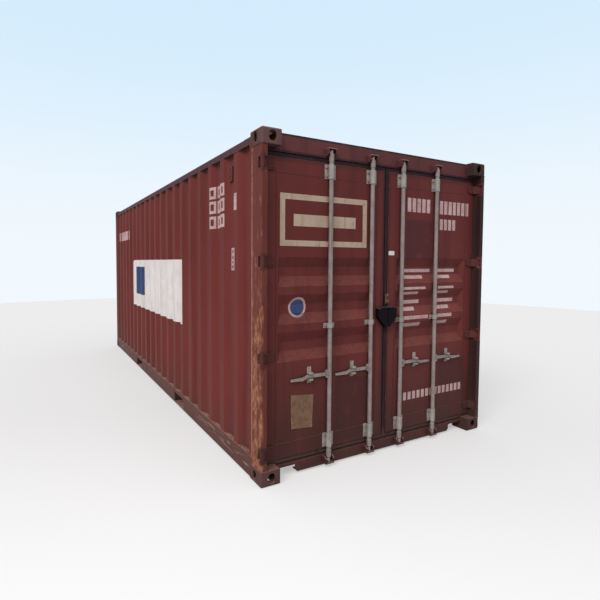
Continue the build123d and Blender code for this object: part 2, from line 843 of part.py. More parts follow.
def rod_bar(y):
    """The turned bar: a collar past each end of the leaf, then a thinner neck for the cam."""
    top = leaf_top + rod_collar_gap
    low = leaf_bottom - rod_collar_gap
    upper = [(rod_radius, top), (rod_collar_radius, top + rod_collar_bevel),
             (rod_collar_radius, top + rod_collar_height - rod_collar_bevel),
             (rod_neck_radius, top + rod_collar_height), (rod_neck_radius, rod_top), (0, rod_top)]
    lower = [(0, rod_bottom), (rod_neck_radius, rod_bottom),
             (rod_neck_radius, low - rod_collar_height),
             (rod_collar_radius, low - rod_collar_height + rod_collar_bevel),
             (rod_collar_radius, low - rod_collar_bevel), (rod_radius, low)]
    wire = Wire.make_polygon([Vector(rod_x + r, y, z) for r, z in lower + upper], close=True)
    return Solid.revolve(Face(wire), 360, Axis((rod_x, y, 0), (0, 0, 1)))


def lock_rod(y, side):
    """A rod with a cam at each end, a hub and a handle that points away from the seam."""
    pieces = [rod_bar(y)]
    nose_x = rod_x - cam_setback
    nose_y = y + side * (cam_reach - cam_nose_radius)
    for z in (rod_bottom + cam_inset, rod_top - cam_inset - cam_thickness):
        lobe = block(nose_x - cam_nose_radius, nose_x + cam_nose_radius, y, nose_y,
                     z, z + cam_thickness)
        nose = Pos(nose_x, nose_y, z + cam_thickness / 2) * Cylinder(cam_nose_radius,
                                                                     cam_thickness)
        pieces += [lobe, nose]
    hub_front = rod_x + handle_hub_thickness / 2
    hub = block(rod_x - handle_hub_thickness / 2, hub_front, y, y + side * handle_hub_reach,
                handle_level - handle_hub_height / 2, handle_level + handle_hub_height / 2)
    outer_edges = hub.edges().filter_by(Axis.X).sort_by(Axis.Y, reverse=side < 0)[-2:]
    pivot = Pos(hub_front, y + side * handle_pivot_offset, handle_level) * Rot(0, 90, 0) * Cylinder(
        handle_pivot_radius, 2 * handle_pivot_height)
    pieces += [fillet(outer_edges, handle_hub_round), pivot, handle_bar(y, side)]
    return joined(pieces)


def handle_bar(y, side):
    """The flat handle: straight through its catch, then stepped down and tapered to the tip."""
    jog_start = catch_offset + catch_width / 2 + handle_jog_gap
    half = handle_height / 2
    middle = [(0, 0, half), (jog_start, 0, half),
              (jog_start + handle_jog_length, -handle_jog_drop, half),
              (handle_length, -handle_jog_drop, handle_tip_height / 2)]
    upper = [(y + side * a, handle_level + b + reach) for a, b, reach in middle]
    lower = [(y + side * a, handle_level + b - reach) for a, b, reach in middle]
    front = leaf_face + handle_standoff
    return prism(upper + lower[::-1], "X", front, front + handle_thickness)


def cam_keepers():
    """A three-sided keeper round each cam, open to the outside, with bevelled cheeks."""
    half = cam_reach + keeper_clearance
    outer = half + keeper_cheek
    pieces = []
    for y in rod_places:
        for face, shut, far in ((header_face, rod_top + keeper_end_gap, -1),
                                (sill_face, rod_bottom - keeper_end_gap, 1)):
            front = face + keeper_depth
            open_end = shut + far * keeper_height
            cap = shut - far * keeper_cheek
            cheek = [(face, cap), (front, cap), (front, open_end - far * keeper_bevel),
                     (front - keeper_bevel, open_end), (face, open_end)]
            pieces.append(prism(cheek, "Y", y - outer, y + outer) - block(
                face - overcut, front + overcut, y - half, y + half, shut, open_end + far * overcut))
    return pieces


def build():
    """Make every sub-part and write it."""
    os.makedirs("parts", exist_ok=True)
    for x_name, x_side in (("front", -1), ("rear", 1)):
        for y_name, y_side in (("left", -1), ("right", 1)):
            for z_name, at_top in (("bottom", False), ("top", True)):
                save(f"casting_{x_name}_{y_name}_{z_name}",
                     corner_casting(x_side, y_side, at_top))
    for name, solid in (("bottom_side_rail", bottom_side_rail()),
                        ("top_side_rail", top_side_rail()), ("side_wall", side_wall()),
                        ("rear_corner_post", rear_post())):
        right, left = both_sides(solid)
        save(f"{name}_right", right)
        save(f"{name}_left", left)
    save("front_corner_posts", both_sides(front_post()))
    save("front_sill", front_sill())
    save("front_header", front_header())
    save("front_wall", front_wall())
    save("door_sill", door_sill())
    save("door_header", door_header())
    save("roof_panel", roof_panel())
    save("crossmembers", crossmembers())
    save("forklift_pockets", [forklift_pocket(centre) for centre in pocket_centres])
    save("floor_panel", floor_panel())
    save("cam_keepers", cam_keepers())
    lugs = hinge_lugs()
    save("hinge_lugs", lugs + [mirror(pair, about=Plane.XZ) for pair in lugs])
    recesses = recess_centres()
    save("ventilators", [ventilator(recesses[-2], -1), ventilator(recesses[1], 1)])
    for name, side in (("left", -1), ("right", 1)):
        save(f"{name}_door_frame", leaf_frame(side))
        save(f"{name}_door_panel", leaf_panel(side))
        save(f"{name}_door_gasket", leaf_gasket(side))
        save(f"{name}_hinge_blades", [hinge_blade(side, z) for z in hinge_levels])
        save(f"{name}_door_fittings", leaf_fittings(side))
        save(f"{name}_lock_box", lock_box(side))
    for i, offset in enumerate(rod_offsets):
        save(f"lock_rod_{i + 1}", lock_rod(seam_offset + offset, 1 if offset > 0 else -1))


build()
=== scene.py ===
import math
import random

import bmesh
import bpy
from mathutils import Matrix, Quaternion, Vector
from mathutils.bvhtree import BVHTree


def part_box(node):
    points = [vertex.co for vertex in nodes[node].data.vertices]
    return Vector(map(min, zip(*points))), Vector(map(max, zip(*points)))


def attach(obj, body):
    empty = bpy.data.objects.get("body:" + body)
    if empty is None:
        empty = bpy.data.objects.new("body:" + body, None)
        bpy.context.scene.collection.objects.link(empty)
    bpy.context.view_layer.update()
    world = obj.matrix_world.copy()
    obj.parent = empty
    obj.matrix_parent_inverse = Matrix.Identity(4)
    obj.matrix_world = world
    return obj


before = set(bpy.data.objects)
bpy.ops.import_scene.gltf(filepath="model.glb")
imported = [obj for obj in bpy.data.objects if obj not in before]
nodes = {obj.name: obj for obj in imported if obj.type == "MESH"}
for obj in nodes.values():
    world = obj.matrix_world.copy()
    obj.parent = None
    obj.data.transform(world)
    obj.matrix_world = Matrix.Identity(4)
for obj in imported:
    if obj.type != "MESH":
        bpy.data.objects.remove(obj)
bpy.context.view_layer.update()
print("frame loaded with", len(nodes), "parts")

mm = 0.001  # the painted marks are written in millimetres
outwards = {"left": -1, "right": 1}  # the way along Y from the middle to each side

# Camera, solved from the picture's own edges
cameraSetup = {
    "place": (5.709, -2.627, 1.639),
    "turnFromLength": 28.66,  # degrees from straight along the container
    "tiltDown": 2.68,
    "roll": 0.21,
    "lens": 25.79,
    "sensor": 36.0,
    "shift": (0.0527, -0.0295),
    "clip": (0.05, 200.0),
}


def makeCamera():
    turn = math.radians(cameraSetup["turnFromLength"])
    tilt = math.radians(cameraSetup["tiltDown"])
    look = Vector((-math.cos(turn) * math.cos(tilt), math.sin(turn) * math.cos(tilt), -math.sin(tilt)))
    data = bpy.data.cameras.new("camera")
    data.lens = cameraSetup["lens"]
    data.sensor_width = cameraSetup["sensor"]
    data.shift_x, data.shift_y = cameraSetup["shift"]
    data.clip_start, data.clip_end = cameraSetup["clip"]
    camera = bpy.data.objects.new("camera", data)
    camera.rotation_mode = "QUATERNION"
    roll = Quaternion((0, 0, 1), math.radians(cameraSetup["roll"]))
    camera.rotation_quaternion = look.to_track_quat("-Z", "Y") @ roll
    camera.location = cameraSetup["place"]
    bpy.context.scene.collection.objects.link(camera)
    bpy.context.scene.camera = camera


makeCamera()
print("camera placed")


# Shader helpers; colours are written 0 to 255, as a screen shows them
def tone(colour):
    def linear(c):
        c /= 255
        return c / 12.92 if c <= 0.04045 else ((c + 0.055) / 1.055) ** 2.4
    return (*[linear(c) for c in colour], 1.0)


def plug(tree, socket, value):
    if isinstance(value, bpy.types.NodeSocket):
        tree.links.new(value, socket)
    else:
        socket.default_value = value


def node(tree, kind, inputs=None, **options):
    made = tree.nodes.new("ShaderNode" + kind)
    for key, value in options.items():
        setattr(made, key, value)
    for key, value in (inputs or {}).items():
        plug(tree, made.inputs[key], value)
    return made


def sums(tree, operation, a, b=0.0):
    return node(tree, "Math", {0: a, 1: b}, operation=operation).outputs[0]


def times(tree, first, *others):
    for other in others:
        first = sums(tree, "MULTIPLY", first, other)
    return first


def ease(tree, value, low, high):
    made = node(tree, "MapRange", {0: value, 1: low, 2: high}, interpolation_type="SMOOTHSTEP")
    return made.outputs[0]


def mix(tree, amount, first, second):
    made = node(tree, "Mix", {0: amount}, data_type="RGBA")
    for socket, value in ((6, first), (7, second)):
        plug(tree, made.inputs[socket], value if isinstance(value, bpy.types.NodeSocket) else tone(value))
    return made.outputs[2]


def noise(tree, place, scale, detail=3.0, rough=0.55, stretch=None):
    if stretch:
        place = node(tree, "VectorMath", {0: place, 1: stretch}, operation="MULTIPLY").outputs[0]
    made = node(tree, "TexNoise", {"Vector": place, "Scale": scale, "Detail": detail, "Roughness": rough})
    return made.outputs[0]


def band(tree, value, low, high, soft):
    rise = ease(tree, value, low - soft, low + soft)
    fall = ease(tree, value, high + soft, high - soft)
    return times(tree, rise, fall)


def axesOf(tree, vector):
    parts = node(tree, "SeparateXYZ", {0: vector}).outputs
    return parts[0], parts[1], parts[2]


def openness(tree, reach):  # 1 in the open, less in corners
    return node(tree, "AmbientOcclusion", {"Distance": reach}, samples=4).outputs["AO"]


def bumps(tree, height, distance, strength, over=None):
    inputs = {"Strength": strength, "Distance": distance, "Height": height}
    if over is not None:
        inputs["Normal"] = over
    return node(tree, "Bump", inputs).outputs[0]


def newMaterial(name):
    material = bpy.data.materials.new(name)
    material.use_nodes = True
    tree = material.node_tree
    place = node(tree, "TexCoord").outputs["Object"]
    return material, tree, tree.nodes["Principled BSDF"], place


def dress(tree, shader, inputs):
    for key, value in inputs.items():
        plug(tree, shader.inputs[key], value)


# Patches of another tone, on the door end's outer faces only
def patched(tree, colour, patches, y, z, ragged):
    facingDoors = ease(tree, axesOf(tree, node(tree, "TexCoord").outputs["Normal"])[0], -0.1, 0.1)
    for patch in patches:
        mask = times(tree, band(tree, y, *patch["y"], patch["soft"]),
                     band(tree, z, *patch["z"], patch["soft"]), facingDoors)
        amount = times(tree, ease(tree, ragged, 0.2, 0.5), mask, patch["amount"])
        colour = mix(tree, amount, colour, patch["colour"])
    return colour


# Paint scraped off a post down to rust, most of it low down, each scrape in a stain
def scrapedPaint(tree, colour, place, y, z, scrapes):
    rubbed = noise(tree, place, 1.0, 6.0, 0.68, scrapes["grain"])
    reach = ease(tree, z, scrapes["fadeTop"], scrapes["fullBelow"])
    level = node(tree, "MapRange", {0: reach, 3: scrapes["few"], 4: scrapes["many"]}).outputs[0]
    over = sums(tree, "SUBTRACT", rubbed, level)
    side = ease(tree, times(tree, y, -1.0), *scrapes["outward"])
    bare = times(tree, ease(tree, over, 0.0, scrapes["soft"]), side)
    flakes = noise(tree, place, 60.0, 5.0, 0.7, (1, 1, 0.35))
    under = mix(tree, ease(tree, flakes, 0.42, 0.6), scrapes["rust"], scrapes["tan"])
    halo = times(tree, ease(tree, over, -0.09, scrapes["soft"]), side, scrapes["halo"])
    colour = mix(tree, halo, colour, scrapes["stain"])
    return mix(tree, bare, colour, under), bare


# Pale scuffs along the low rails, more of them towards both ends
def scuffedPaint(tree, colour, place, x, z, scuffs):
    rubbed = ease(tree, noise(tree, place, 1.0, 5.0, 0.65, scuffs["grain"]), 0.53, 0.64)
    reach = times(tree, ease(tree, sums(tree, "ABSOLUTE", x), scuffs["from"], scuffs["full"]),
                  band(tree, z, scuffs["low"], scuffs["high"], scuffs["soft"]))
    return mix(tree, times(tree, rubbed, reach, scuffs["amount"]), colour, scuffs["colour"])


# Weathered paint on steel: fades, rain streaks, grime and painted shade in corners, painted shade towards
# the front end, dust on ledges, rust and worn edges
def weatheredPaint(name, look, patches=(), scrapes=None, scuffs=None):
    material, tree, shader, place = newMaterial(name)
    normal = node(tree, "NewGeometry").outputs["Normal"]
    x, y, z = axesOf(tree, place)
    up = axesOf(tree, normal)[2]

    clouds = noise(tree, place, look["cloudScale"], 4.0, 0.6)
    colour = mix(tree, ease(tree, clouds, 0.35, 0.68), look["colour"], look["faded"])
    streaks = noise(tree, place, 1.0, 5.0, 0.6, (look["streakScale"], look["streakScale"], 0.7))
    colour = mix(tree, times(tree, ease(tree, streaks, 0.46, 0.72), look["streaks"]), colour, look["deep"])
    # painted shade: darker towards the front end
    paintedFrontShade = times(tree, ease(tree, x, -2.2, -3.0), look["frontShade"])
    colour = mix(tree, paintedFrontShade, colour, look["deep"])
    ragged = noise(tree, place, 9.0, 4.0, 0.6)
    if patches:
        colour = patched(tree, colour, patches, y, z, ragged)

    low = times(tree, ease(tree, z, look["grimeTop"], 0.0), ease(tree, streaks, 0.12, 0.5))
    # painted shade: corners and creases darkened by ambient occlusion, in the same colour as the grime low
    # down
    corner = times(tree, ease(tree, openness(tree, look["cornerReach"]), 0.85, 0.25), look["corners"])
    grimeAndShade = sums(tree, "MAXIMUM", times(tree, low, look["grime"]), corner)
    colour = mix(tree, grimeAndShade, colour, look["grimeAndShadeColour"])

    fine = noise(tree, place, 42.0, 4.0, 0.6)
    ledge = times(tree, ease(tree, up, 0.25, 0.8), ease(tree, fine, 0.25, 0.6))
    colour = mix(tree, times(tree, ledge, look["dust"]), colour, look["dustColour"])

    spots = noise(tree, place, 26.0, 6.0, 0.7)
    where = noise(tree, place, 1.7, 2.0, 0.5)
    rust = times(tree, ease(tree, spots, 0.70 - look["rust"], 0.76 - look["rust"]),
                 ease(tree, where, 0.45, 0.62))
    bevel = node(tree, "Bevel", {0: look["edgeWidth"]}, samples=4).outputs[0]
    facing = node(tree, "VectorMath", {0: bevel, 1: normal}, operation="DOT_PRODUCT").outputs["Value"]
    wornEdge = times(tree, ease(tree, facing, 0.992, 0.90),
                     ease(tree, ragged, 0.62 - look["edgeWear"], 0.70 - look["edgeWear"]))
    colour = mix(tree, rust, colour, look["rustColour"])
    colour = mix(tree, wornEdge, colour, look["edgeColour"])

    bare = sums(tree, "MAXIMUM", rust, wornEdge)
    if scrapes:
        colour, scraped = scrapedPaint(tree, colour, place, y, z, scrapes)
        bare = sums(tree, "MAXIMUM", bare, scraped)
    if scuffs:
        colour = scuffedPaint(tree, colour, place, x, z, scuffs)

    shade = node(tree, "Math", {0: clouds, 1: 0.16, 2: look["roughness"] - 0.08}, operation="MULTIPLY_ADD")
    dents = noise(tree, place, look["dentScale"], 2.0, 0.4)
    dented = bumps(tree, dents, look["dentDepth"], 1.0, bevel)
    skin = sums(tree, "SUBTRACT", times(tree, fine, 0.35), bare)
    dress(tree, shader, {
        "Base Color": colour,
        "Roughness": sums(tree, "MAXIMUM", shade.outputs[0], times(tree, bare, 0.85)),
        "Specular IOR Level": look["gloss"],
        "Normal": bumps(tree, skin, 0.0006, 0.6, dented),
    })
    return material


sidePaint = {
    "colour": (110, 45, 39), "faded": (118, 53, 47), "deep": (89, 36, 32),
    "cloudScale": 0.7, "streakScale": 9.0, "streaks": 0.55, "frontShade": 0.5,
    "grimeTop": 0.55, "grime": 0.5, "grimeAndShadeColour": (84, 58, 48), "cornerReach": 0.09, "corners": 0.75,
    "dust": 0.8, "dustColour": (166, 128, 114), "rust": 0.03, "rustColour": (112, 62, 40),
    "edgeWidth": 0.004, "edgeWear": 0.12, "edgeColour": (150, 98, 84),
    "roughness": 0.58, "gloss": 0.16, "dentScale": 2.2, "dentDepth": 0.010,
}
doorPaint = dict(sidePaint, colour=(103, 45, 42), faded=(113, 54, 50), deep=(77, 34, 34), streaks=0.5,
                 dust=0.75, dustColour=(158, 104, 90), grimeTop=1.05, grime=0.82, grimeAndShadeColour=(64, 43, 37),
                 dentDepth=0.006)
framePaint = dict(sidePaint, colour=(106, 52, 47), faded=(116, 64, 56), deep=(80, 40, 36), rust=0.06,
                  edgeWear=0.16, edgeWidth=0.006, dentDepth=0.003, edgeColour=(150, 106, 84))
farPostPaint = dict(framePaint, colour=(54, 34, 33), faded=(62, 40, 38), deep=(40, 26, 27), edgeWear=-0.1)
hingePaint = dict(doorPaint, colour=(90, 44, 40), faded=(98, 53, 47), deep=(66, 34, 33), edgeWear=-0.1,
                  edgeWidth=0.003, edgeColour=(98, 62, 54), dust=0.5, dustColour=(120, 84, 76),
                  dentDepth=0.001)
headerPaint = dict(framePaint, colour=(98, 52, 51), faded=(106, 60, 57), deep=(72, 40, 40),
                   edgeColour=(84, 62, 62), grimeAndShadeColour=(52, 38, 40))
railPaint = dict(framePaint, colour=(92, 50, 43), faded=(106, 64, 55), deep=(70, 42, 36), grime=0.7,
                 grimeTop=0.22, rust=0.09, grimeAndShadeColour=(82, 54, 44), edgeColour=(158, 126, 114))
sillPaint = dict(railPaint, colour=(90, 47, 43), faded=(102, 60, 54), deep=(66, 40, 38), dust=0.35,
                 dustColour=(104, 76, 68), grimeAndShadeColour=(62, 44, 40), edgeColour=(100, 66, 58))
castPaint = dict(framePaint, colour=(96, 60, 58), faded=(110, 78, 76), deep=(70, 46, 46), rust=0.06,
                 rustColour=(116, 68, 44), edgeColour=(128, 98, 90), cloudScale=5.0, roughness=0.7,
                 dust=0.4)
farCastPaint = dict(castPaint, colour=(62, 42, 37), faded=(74, 53, 46), deep=(46, 34, 30), dust=0.3,
                    edgeColour=(94, 78, 64))
topRailPaint = dict(headerPaint, colour=(82, 48, 53), faded=(90, 56, 60), deep=(62, 38, 43), frontShade=0.8)
keeperPaint = dict(headerPaint, edgeWear=0.05, edgeWidth=0.003, edgeColour=(140, 116, 110), corners=0.3)
underPaint = dict(railPaint, colour=(50, 42, 40), faded=(62, 52, 48), deep=(38, 34, 34), rust=0.05)
boxPaint = dict(framePaint, colour=(13, 9, 15), faded=(20, 14, 22), deep=(9, 7, 12), rust=0.0, gloss=0.08,
                edgeColour=(52, 44, 50), edgeWear=0.0, dust=0.8, dustColour=(118, 104, 110),
                grimeAndShadeColour=(20, 15, 17), roughness=0.6)
doorBeadPaint = dict(doorPaint, colour=(84, 40, 38), faded=(96, 50, 46), edgeWidth=0.0006, edgeWear=0.0,
                     dentDepth=0.001, cloudScale=9.0)
beadPaint = dict(sidePaint, colour=(96, 50, 44), faded=(120, 74, 62), rust=0.14, edgeWear=0.2,
                 edgeWidth=0.001, dentDepth=0.001, cloudScale=9.0)
rubbedBead = dict(beadPaint, colour=(172, 128, 104), faded=(196, 156, 132), deep=(134, 88, 68))
rustyPlate = dict(castPaint, colour=(98, 66, 44), faded=(116, 84, 60), deep=(70, 46, 34), rust=0.3)

doorPatches = [
    # painted shade down the seam between the two leaves
    {"y": (-0.020, 0.068), "z": (0.14, 2.43), "soft": 0.010, "amount": 0.75, "colour": (66, 34, 36)},
    # painted shade along the leaves' tops, under the header
    {"y": (-1.2, 1.2), "z": (2.385, 2.43), "soft": 0.012, "amount": 0.5, "colour": (70, 36, 38)},
    {"y": (0.266, 0.591), "z": (1.665, 2.020), "soft": 0.012, "amount": 0.8, "colour": (80, 40, 42)},
    {"y": (-0.501, -0.135), "z": (0.179, 0.688), "soft": 0.015, "amount": 0.75, "colour": (74, 34, 37)},
    {"y": (0.711, 1.076), "z": (0.445, 0.724), "soft": 0.015, "amount": 0.7, "colour": (76, 37, 39)},
]
headerPatches = [
    {"y": (-1.3, 1.3), "z": (2.571, 2.62), "soft": 0.003, "amount": 0.85, "colour": (44, 34, 42)},
    # painted shade along the header's lower edge
    {"y": (-1.3, 1.3), "z": (2.40, 2.466), "soft": 0.006, "amount": 0.8, "colour": (46, 30, 37)},
    # painted shade under the left casting, above the leaf
    {"y": (-1.3, -1.03), "z": (2.40, 2.50), "soft": 0.015, "amount": 0.85, "colour": (48, 31, 40)},
]
keeperPatches = [
    {"y": (-1.3, 1.3), "z": (2.517, 2.53), "soft": 0.002, "amount": 0.6, "colour": (158, 138, 132)},
    {"y": (-1.3, 1.3), "z": (0.0, 0.3), "soft": 0.01, "amount": 0.7, "colour": (74, 42, 39)},
]
nearPostPaint = dict(framePaint, colour=(109, 50, 44), faded=(117, 60, 52))
postScrapes = {
    "grain": (24.0, 24.0, 8.0), "fadeTop": 2.5, "fullBelow": 0.70, "few": 0.62, "many": 0.42,
    "soft": 0.16, "halo": 0.55, "outward": (1.190, 1.212), "rust": (140, 80, 52),
    "tan": (180, 128, 100), "stain": (120, 66, 46),
}
railScuffs = {
    "grain": (6.0, 6.0, 40.0), "from": 1.2, "full": 2.4, "low": 0.07, "high": 0.15, "soft": 0.012,
    "amount": 0.5, "colour": (190, 164, 152),
}


def galvanised(name, look):
    material, tree, shader, place = newMaterial(name)
    clouds = noise(tree, place, 14.0, 5.0, 0.65)
    runs = noise(tree, place, 1.0, 4.0, 0.6, (60.0, 60.0, 2.2))
    colour = mix(tree, ease(tree, clouds, 0.35, 0.65), look["colour"], look["pale"])
    colour = mix(tree, times(tree, ease(tree, runs, 0.5, 0.7), 0.5), colour, look["stain"])
    # painted shade: crevices darkened by ambient occlusion, in the grime colour
    creviceGrimeAndShade = times(tree, ease(tree, openness(tree, 0.03), 0.7, 0.2), 0.75)
    colour = mix(tree, creviceGrimeAndShade, colour, look["grime"])
    spots = noise(tree, place, 34.0, 6.0, 0.7)
    colour = mix(tree, ease(tree, spots, 0.64, 0.70), colour, look["rust"])
    bevel = node(tree, "Bevel", {0: 0.0018}, samples=4).outputs[0]
    dress(tree, shader, {
        "Base Color": colour,
        "Metallic": 0.25,
        "Roughness": ease(tree, clouds, -0.9, 1.3),
        "Normal": bumps(tree, clouds, 0.0005, 0.5, bevel),
    })
    return material


# the grime colour also serves as painted shade in the crevices
galvanisedLook = {"colour": (144, 130, 124), "pale": (164, 150, 145), "stain": (112, 94, 84),
                  "grime": (70, 52, 46), "rust": (122, 82, 58)}
fittingLook = dict(galvanisedLook, colour=(156, 149, 140), pale=(178, 170, 161), stain=(122, 108, 98))
sealLook = {"colour": (38, 22, 27), "faded": (50, 31, 34), "dust": (96, 72, 66), "splash": (78, 56, 48)}


def sealRubber(name):
    material, tree, shader, place = newMaterial(name)
    height = axesOf(tree, place)[2]
    up = axesOf(tree, node(tree, "NewGeometry").outputs["Normal"])[2]
    clouds = noise(tree, place, 11.0, 4.0, 0.6)
    colour = mix(tree, ease(tree, clouds, 0.35, 0.7), sealLook["colour"], sealLook["faded"])
    colour = mix(tree, times(tree, ease(tree, up, 0.3, 0.9), 0.55), colour, sealLook["dust"])
    splashed = times(tree, ease(tree, height, 0.24, 0.14), ease(tree, clouds, 0.2, 0.5))
    colour = mix(tree, splashed, colour, sealLook["splash"])
    dress(tree, shader, {
        "Base Color": colour,
        "Roughness": 0.72,
        "Specular IOR Level": 0.3,
        "Normal": bumps(tree, clouds, 0.001, 0.5),
    })
    return material


plywoodLook = {"colour": (104, 68, 42), "pale": (142, 98, 62), "stain": (74, 56, 44), "seam": (34, 24, 18),
               "halfSheet": (1.22, 0.585), "seamEdge": (0.003, 0.0015)}


def plywoodFloor(name):
    material, tree, shader, place = newMaterial(name)
    grain = noise(tree, place, 1.0, 6.0, 0.6, (3.0, 60.0, 60.0))
    blotch = noise(tree, place, 3.2, 4.0, 0.6)
    colour = mix(tree, ease(tree, grain, 0.35, 0.65), plywoodLook["colour"], plywoodLook["pale"])
    colour = mix(tree, times(tree, ease(tree, blotch, 0.4, 0.7), 0.6), colour, plywoodLook["stain"])
    seams = [ease(tree, sums(tree, "PINGPONG", axis, half), *plywoodLook["seamEdge"])
             for axis, half in zip(axesOf(tree, place), plywoodLook["halfSheet"])]
    seam = sums(tree, "MAXIMUM", *seams)
    colour = mix(tree, seam, colour, plywoodLook["seam"])
    height = sums(tree, "SUBTRACT", times(tree, grain, 0.3), seam)
    dress(tree, shader, {
        "Base Color": colour,
        "Roughness": 0.7,
        "Normal": bumps(tree, height, 0.002, 0.7),
    })
    return material


finish = {
    "side": weatheredPaint("side wall paint", sidePaint),
    "door": weatheredPaint("door paint", doorPaint, doorPatches),
    "frame": weatheredPaint("frame paint", framePaint),
    "header": weatheredPaint("header paint", headerPaint, headerPatches),
    "topRail": weatheredPaint("top rail paint", topRailPaint),
    "rail": weatheredPaint("rail paint", railPaint, scuffs=railScuffs),
    "sill": weatheredPaint("sill paint", sillPaint),
    "keeper": weatheredPaint("keeper paint", keeperPaint, keeperPatches),
    "cast": weatheredPaint("casting paint", castPaint),
    "farCast": weatheredPaint("dark casting paint", farCastPaint),
    "under": weatheredPaint("underside paint", underPaint),
    "lockBox": weatheredPaint("lock box paint", boxPaint),
    "nearPost": weatheredPaint("rubbed post paint", nearPostPaint, scrapes=postScrapes),
    "farPost": weatheredPaint("dark post paint", farPostPaint),
    "galvanised": galvanised("galvanised steel", galvanisedLook),
    "fitting": galvanised("pale galvanised steel", fittingLook),
    "rubber": sealRubber("seal rubber"),
    "floor": plywoodFloor("plywood floor"),
    "bead": weatheredPaint("weld bead paint", beadPaint),
    "doorBead": weatheredPaint("door bead paint", doorBeadPaint),
    "hinge": weatheredPaint("hinge paint", hingePaint),
    "rubbedBead": weatheredPaint("rubbed weld bead", rubbedBead),
    "rusty": weatheredPaint("rusty plate", rustyPlate),
}
print("finishes mixed:", len(finish))


# Which parts get which finish, by words in their names; the first that fits counts
finishWords = {
    "farCast": ("casting_rear_right",),
    "cast": ("casting",),
    "side": ("side_wall", "roof_panel", "front_wall", "ventilators"),
    "rail": ("bottom_side_rail",),
    "sill": ("door_sill", "front_sill"),
    "keeper": ("cam_keepers",),
    "topRail": ("top_side_rail",),
    "header": ("door_header", "front_header"),
    "under": ("crossmembers", "forklift_pockets"),
    "door": ("door_frame", "door_panel"),
    "hinge": ("hinge_blades", "hinge_lugs"),
    "rubber": ("door_gasket",),
    "lockBox": ("lock_box",),
    "galvanised": ("lock_rod",),
    "fitting": ("door_fittings",),
    "floor": ("floor_panel",),
    "nearPost": ("rear_corner_post_left",),
    "farPost": ("rear_corner_post_right",),
}


def finishOf(name):
    for look, words in finishWords.items():
        if any(word in name for word in words):
            return look
    return "frame"


for name, part in nodes.items():
    part.data.materials.clear()
    part.data.materials.append(finish[finishOf(name)])
print("finishes on all parts")


# Turned shapes, each by its rings' radius and height and its number of sides
turnedShapes = {
    "washer": {"sides": 14, "rings": [(0.0125, 0.0), (0.0125, 0.0018), (0.0115, 0.0024)]},
    "head": {"sides": 6, "rings": [(0.0092, 0.002), (0.0092, 0.0085), (0.0072, 0.0098)]},
    "rivet": {"sides": 12, "rings": [(0.0062, 0.0), (0.0058, 0.0014), (0.0042, 0.0026), (0.0020, 0.0032)]},
    "stud": {"sides": 14, "rings": [(0.0085, 0.0), (0.0080, 0.0014), (0.0055, 0.0030), (0.0024, 0.0036)]},
    "screw": {"sides": 8, "rings": [(0.0050, 0.0), (0.0048, 0.0006), (0.0020, 0.0009)]},
}
doorOutward = (1, 0, 0)


def turned(mesh, place, outward, kind, turn=0.0):
    frameTurn = Vector(outward).to_track_quat("Z", "Y")
    sides = turnedShapes[kind]["sides"]
    rings = []
    for radius, height in turnedShapes[kind]["rings"]:
        ring = []
        for i in range(sides):
            angle = turn + 2 * math.pi * i / sides
            point = Vector((radius * math.cos(angle), radius * math.sin(angle), height))
            ring.append(mesh.verts.new(Vector(place) + frameTurn @ point))
        rings.append(ring)
    closeRings(mesh, rings)


def closeRings(mesh, rings):
    for low, high in zip(rings, rings[1:]):
        for i in range(len(low)):
            j = (i + 1) % len(low)
            mesh.faces.new((low[i], low[j], high[j], high[i]))
    mesh.faces.new(rings[0][::-1])
    mesh.faces.new(rings[-1])


def boltHead(mesh, place, turn):
    turned(mesh, place, doorOutward, "washer")
    turned(mesh, place, doorOutward, "head", turn)


def makePiece(name, mesh, material, body):
    data = bpy.data.meshes.new(name)
    bmesh.ops.recalc_face_normals(mesh, faces=mesh.faces[:])
    mesh.to_mesh(data)
    mesh.free()
    piece = bpy.data.objects.new(name, data)
    bpy.context.scene.collection.objects.link(piece)
    data.materials.append(material)
    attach(piece, body)


# The box of each solid in a part, lowest first, so that every run draws them in one order
def partBoxes(name):
    mesh = bmesh.new()
    mesh.from_mesh(nodes[name].data)
    bmesh.ops.remove_doubles(mesh, verts=mesh.verts[:], dist=1e-5)
    waiting = set(mesh.verts)
    boxes = []
    while waiting:
        found, queue = [], [waiting.pop()]
        while queue:
            vertex = queue.pop()
            found.append(vertex.co.copy())
            for edge in vertex.link_edges:
                other = edge.other_vert(vertex)
                if other in waiting:
                    waiting.remove(other)
                    queue.append(other)
        low = Vector([min(point[i] for point in found) for i in range(3)])
        high = Vector([max(point[i] for point in found) for i in range(3)])
        boxes.append((low, high))
    mesh.free()
    return sorted(boxes, key=lambda box: (box[0].z, box[0].y, box[0].x))


# Bolts of the guides and catches, and studs of the hinge straps
fittingSetup = {
    "face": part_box("left_door_frame")[1].x,
    "guideFlange": 0.005,
    "catchPlate": 0.006,
    "strap": 0.012,
    "edge": 0.013,  # a bolt's distance from the edge of its flange
    "narrow": 0.05,  # a fitting narrower than this is a handle catch
    "short": 0.05,  # a guide lower than this has one row of bolts
    "catchEnd": 0.009,
    "guideEnd": 0.022,
    "studSteps": (0.018, 0.058),
    "studEnd": 0.021,
    "seeds": {"left": 11, "right": 12},
}


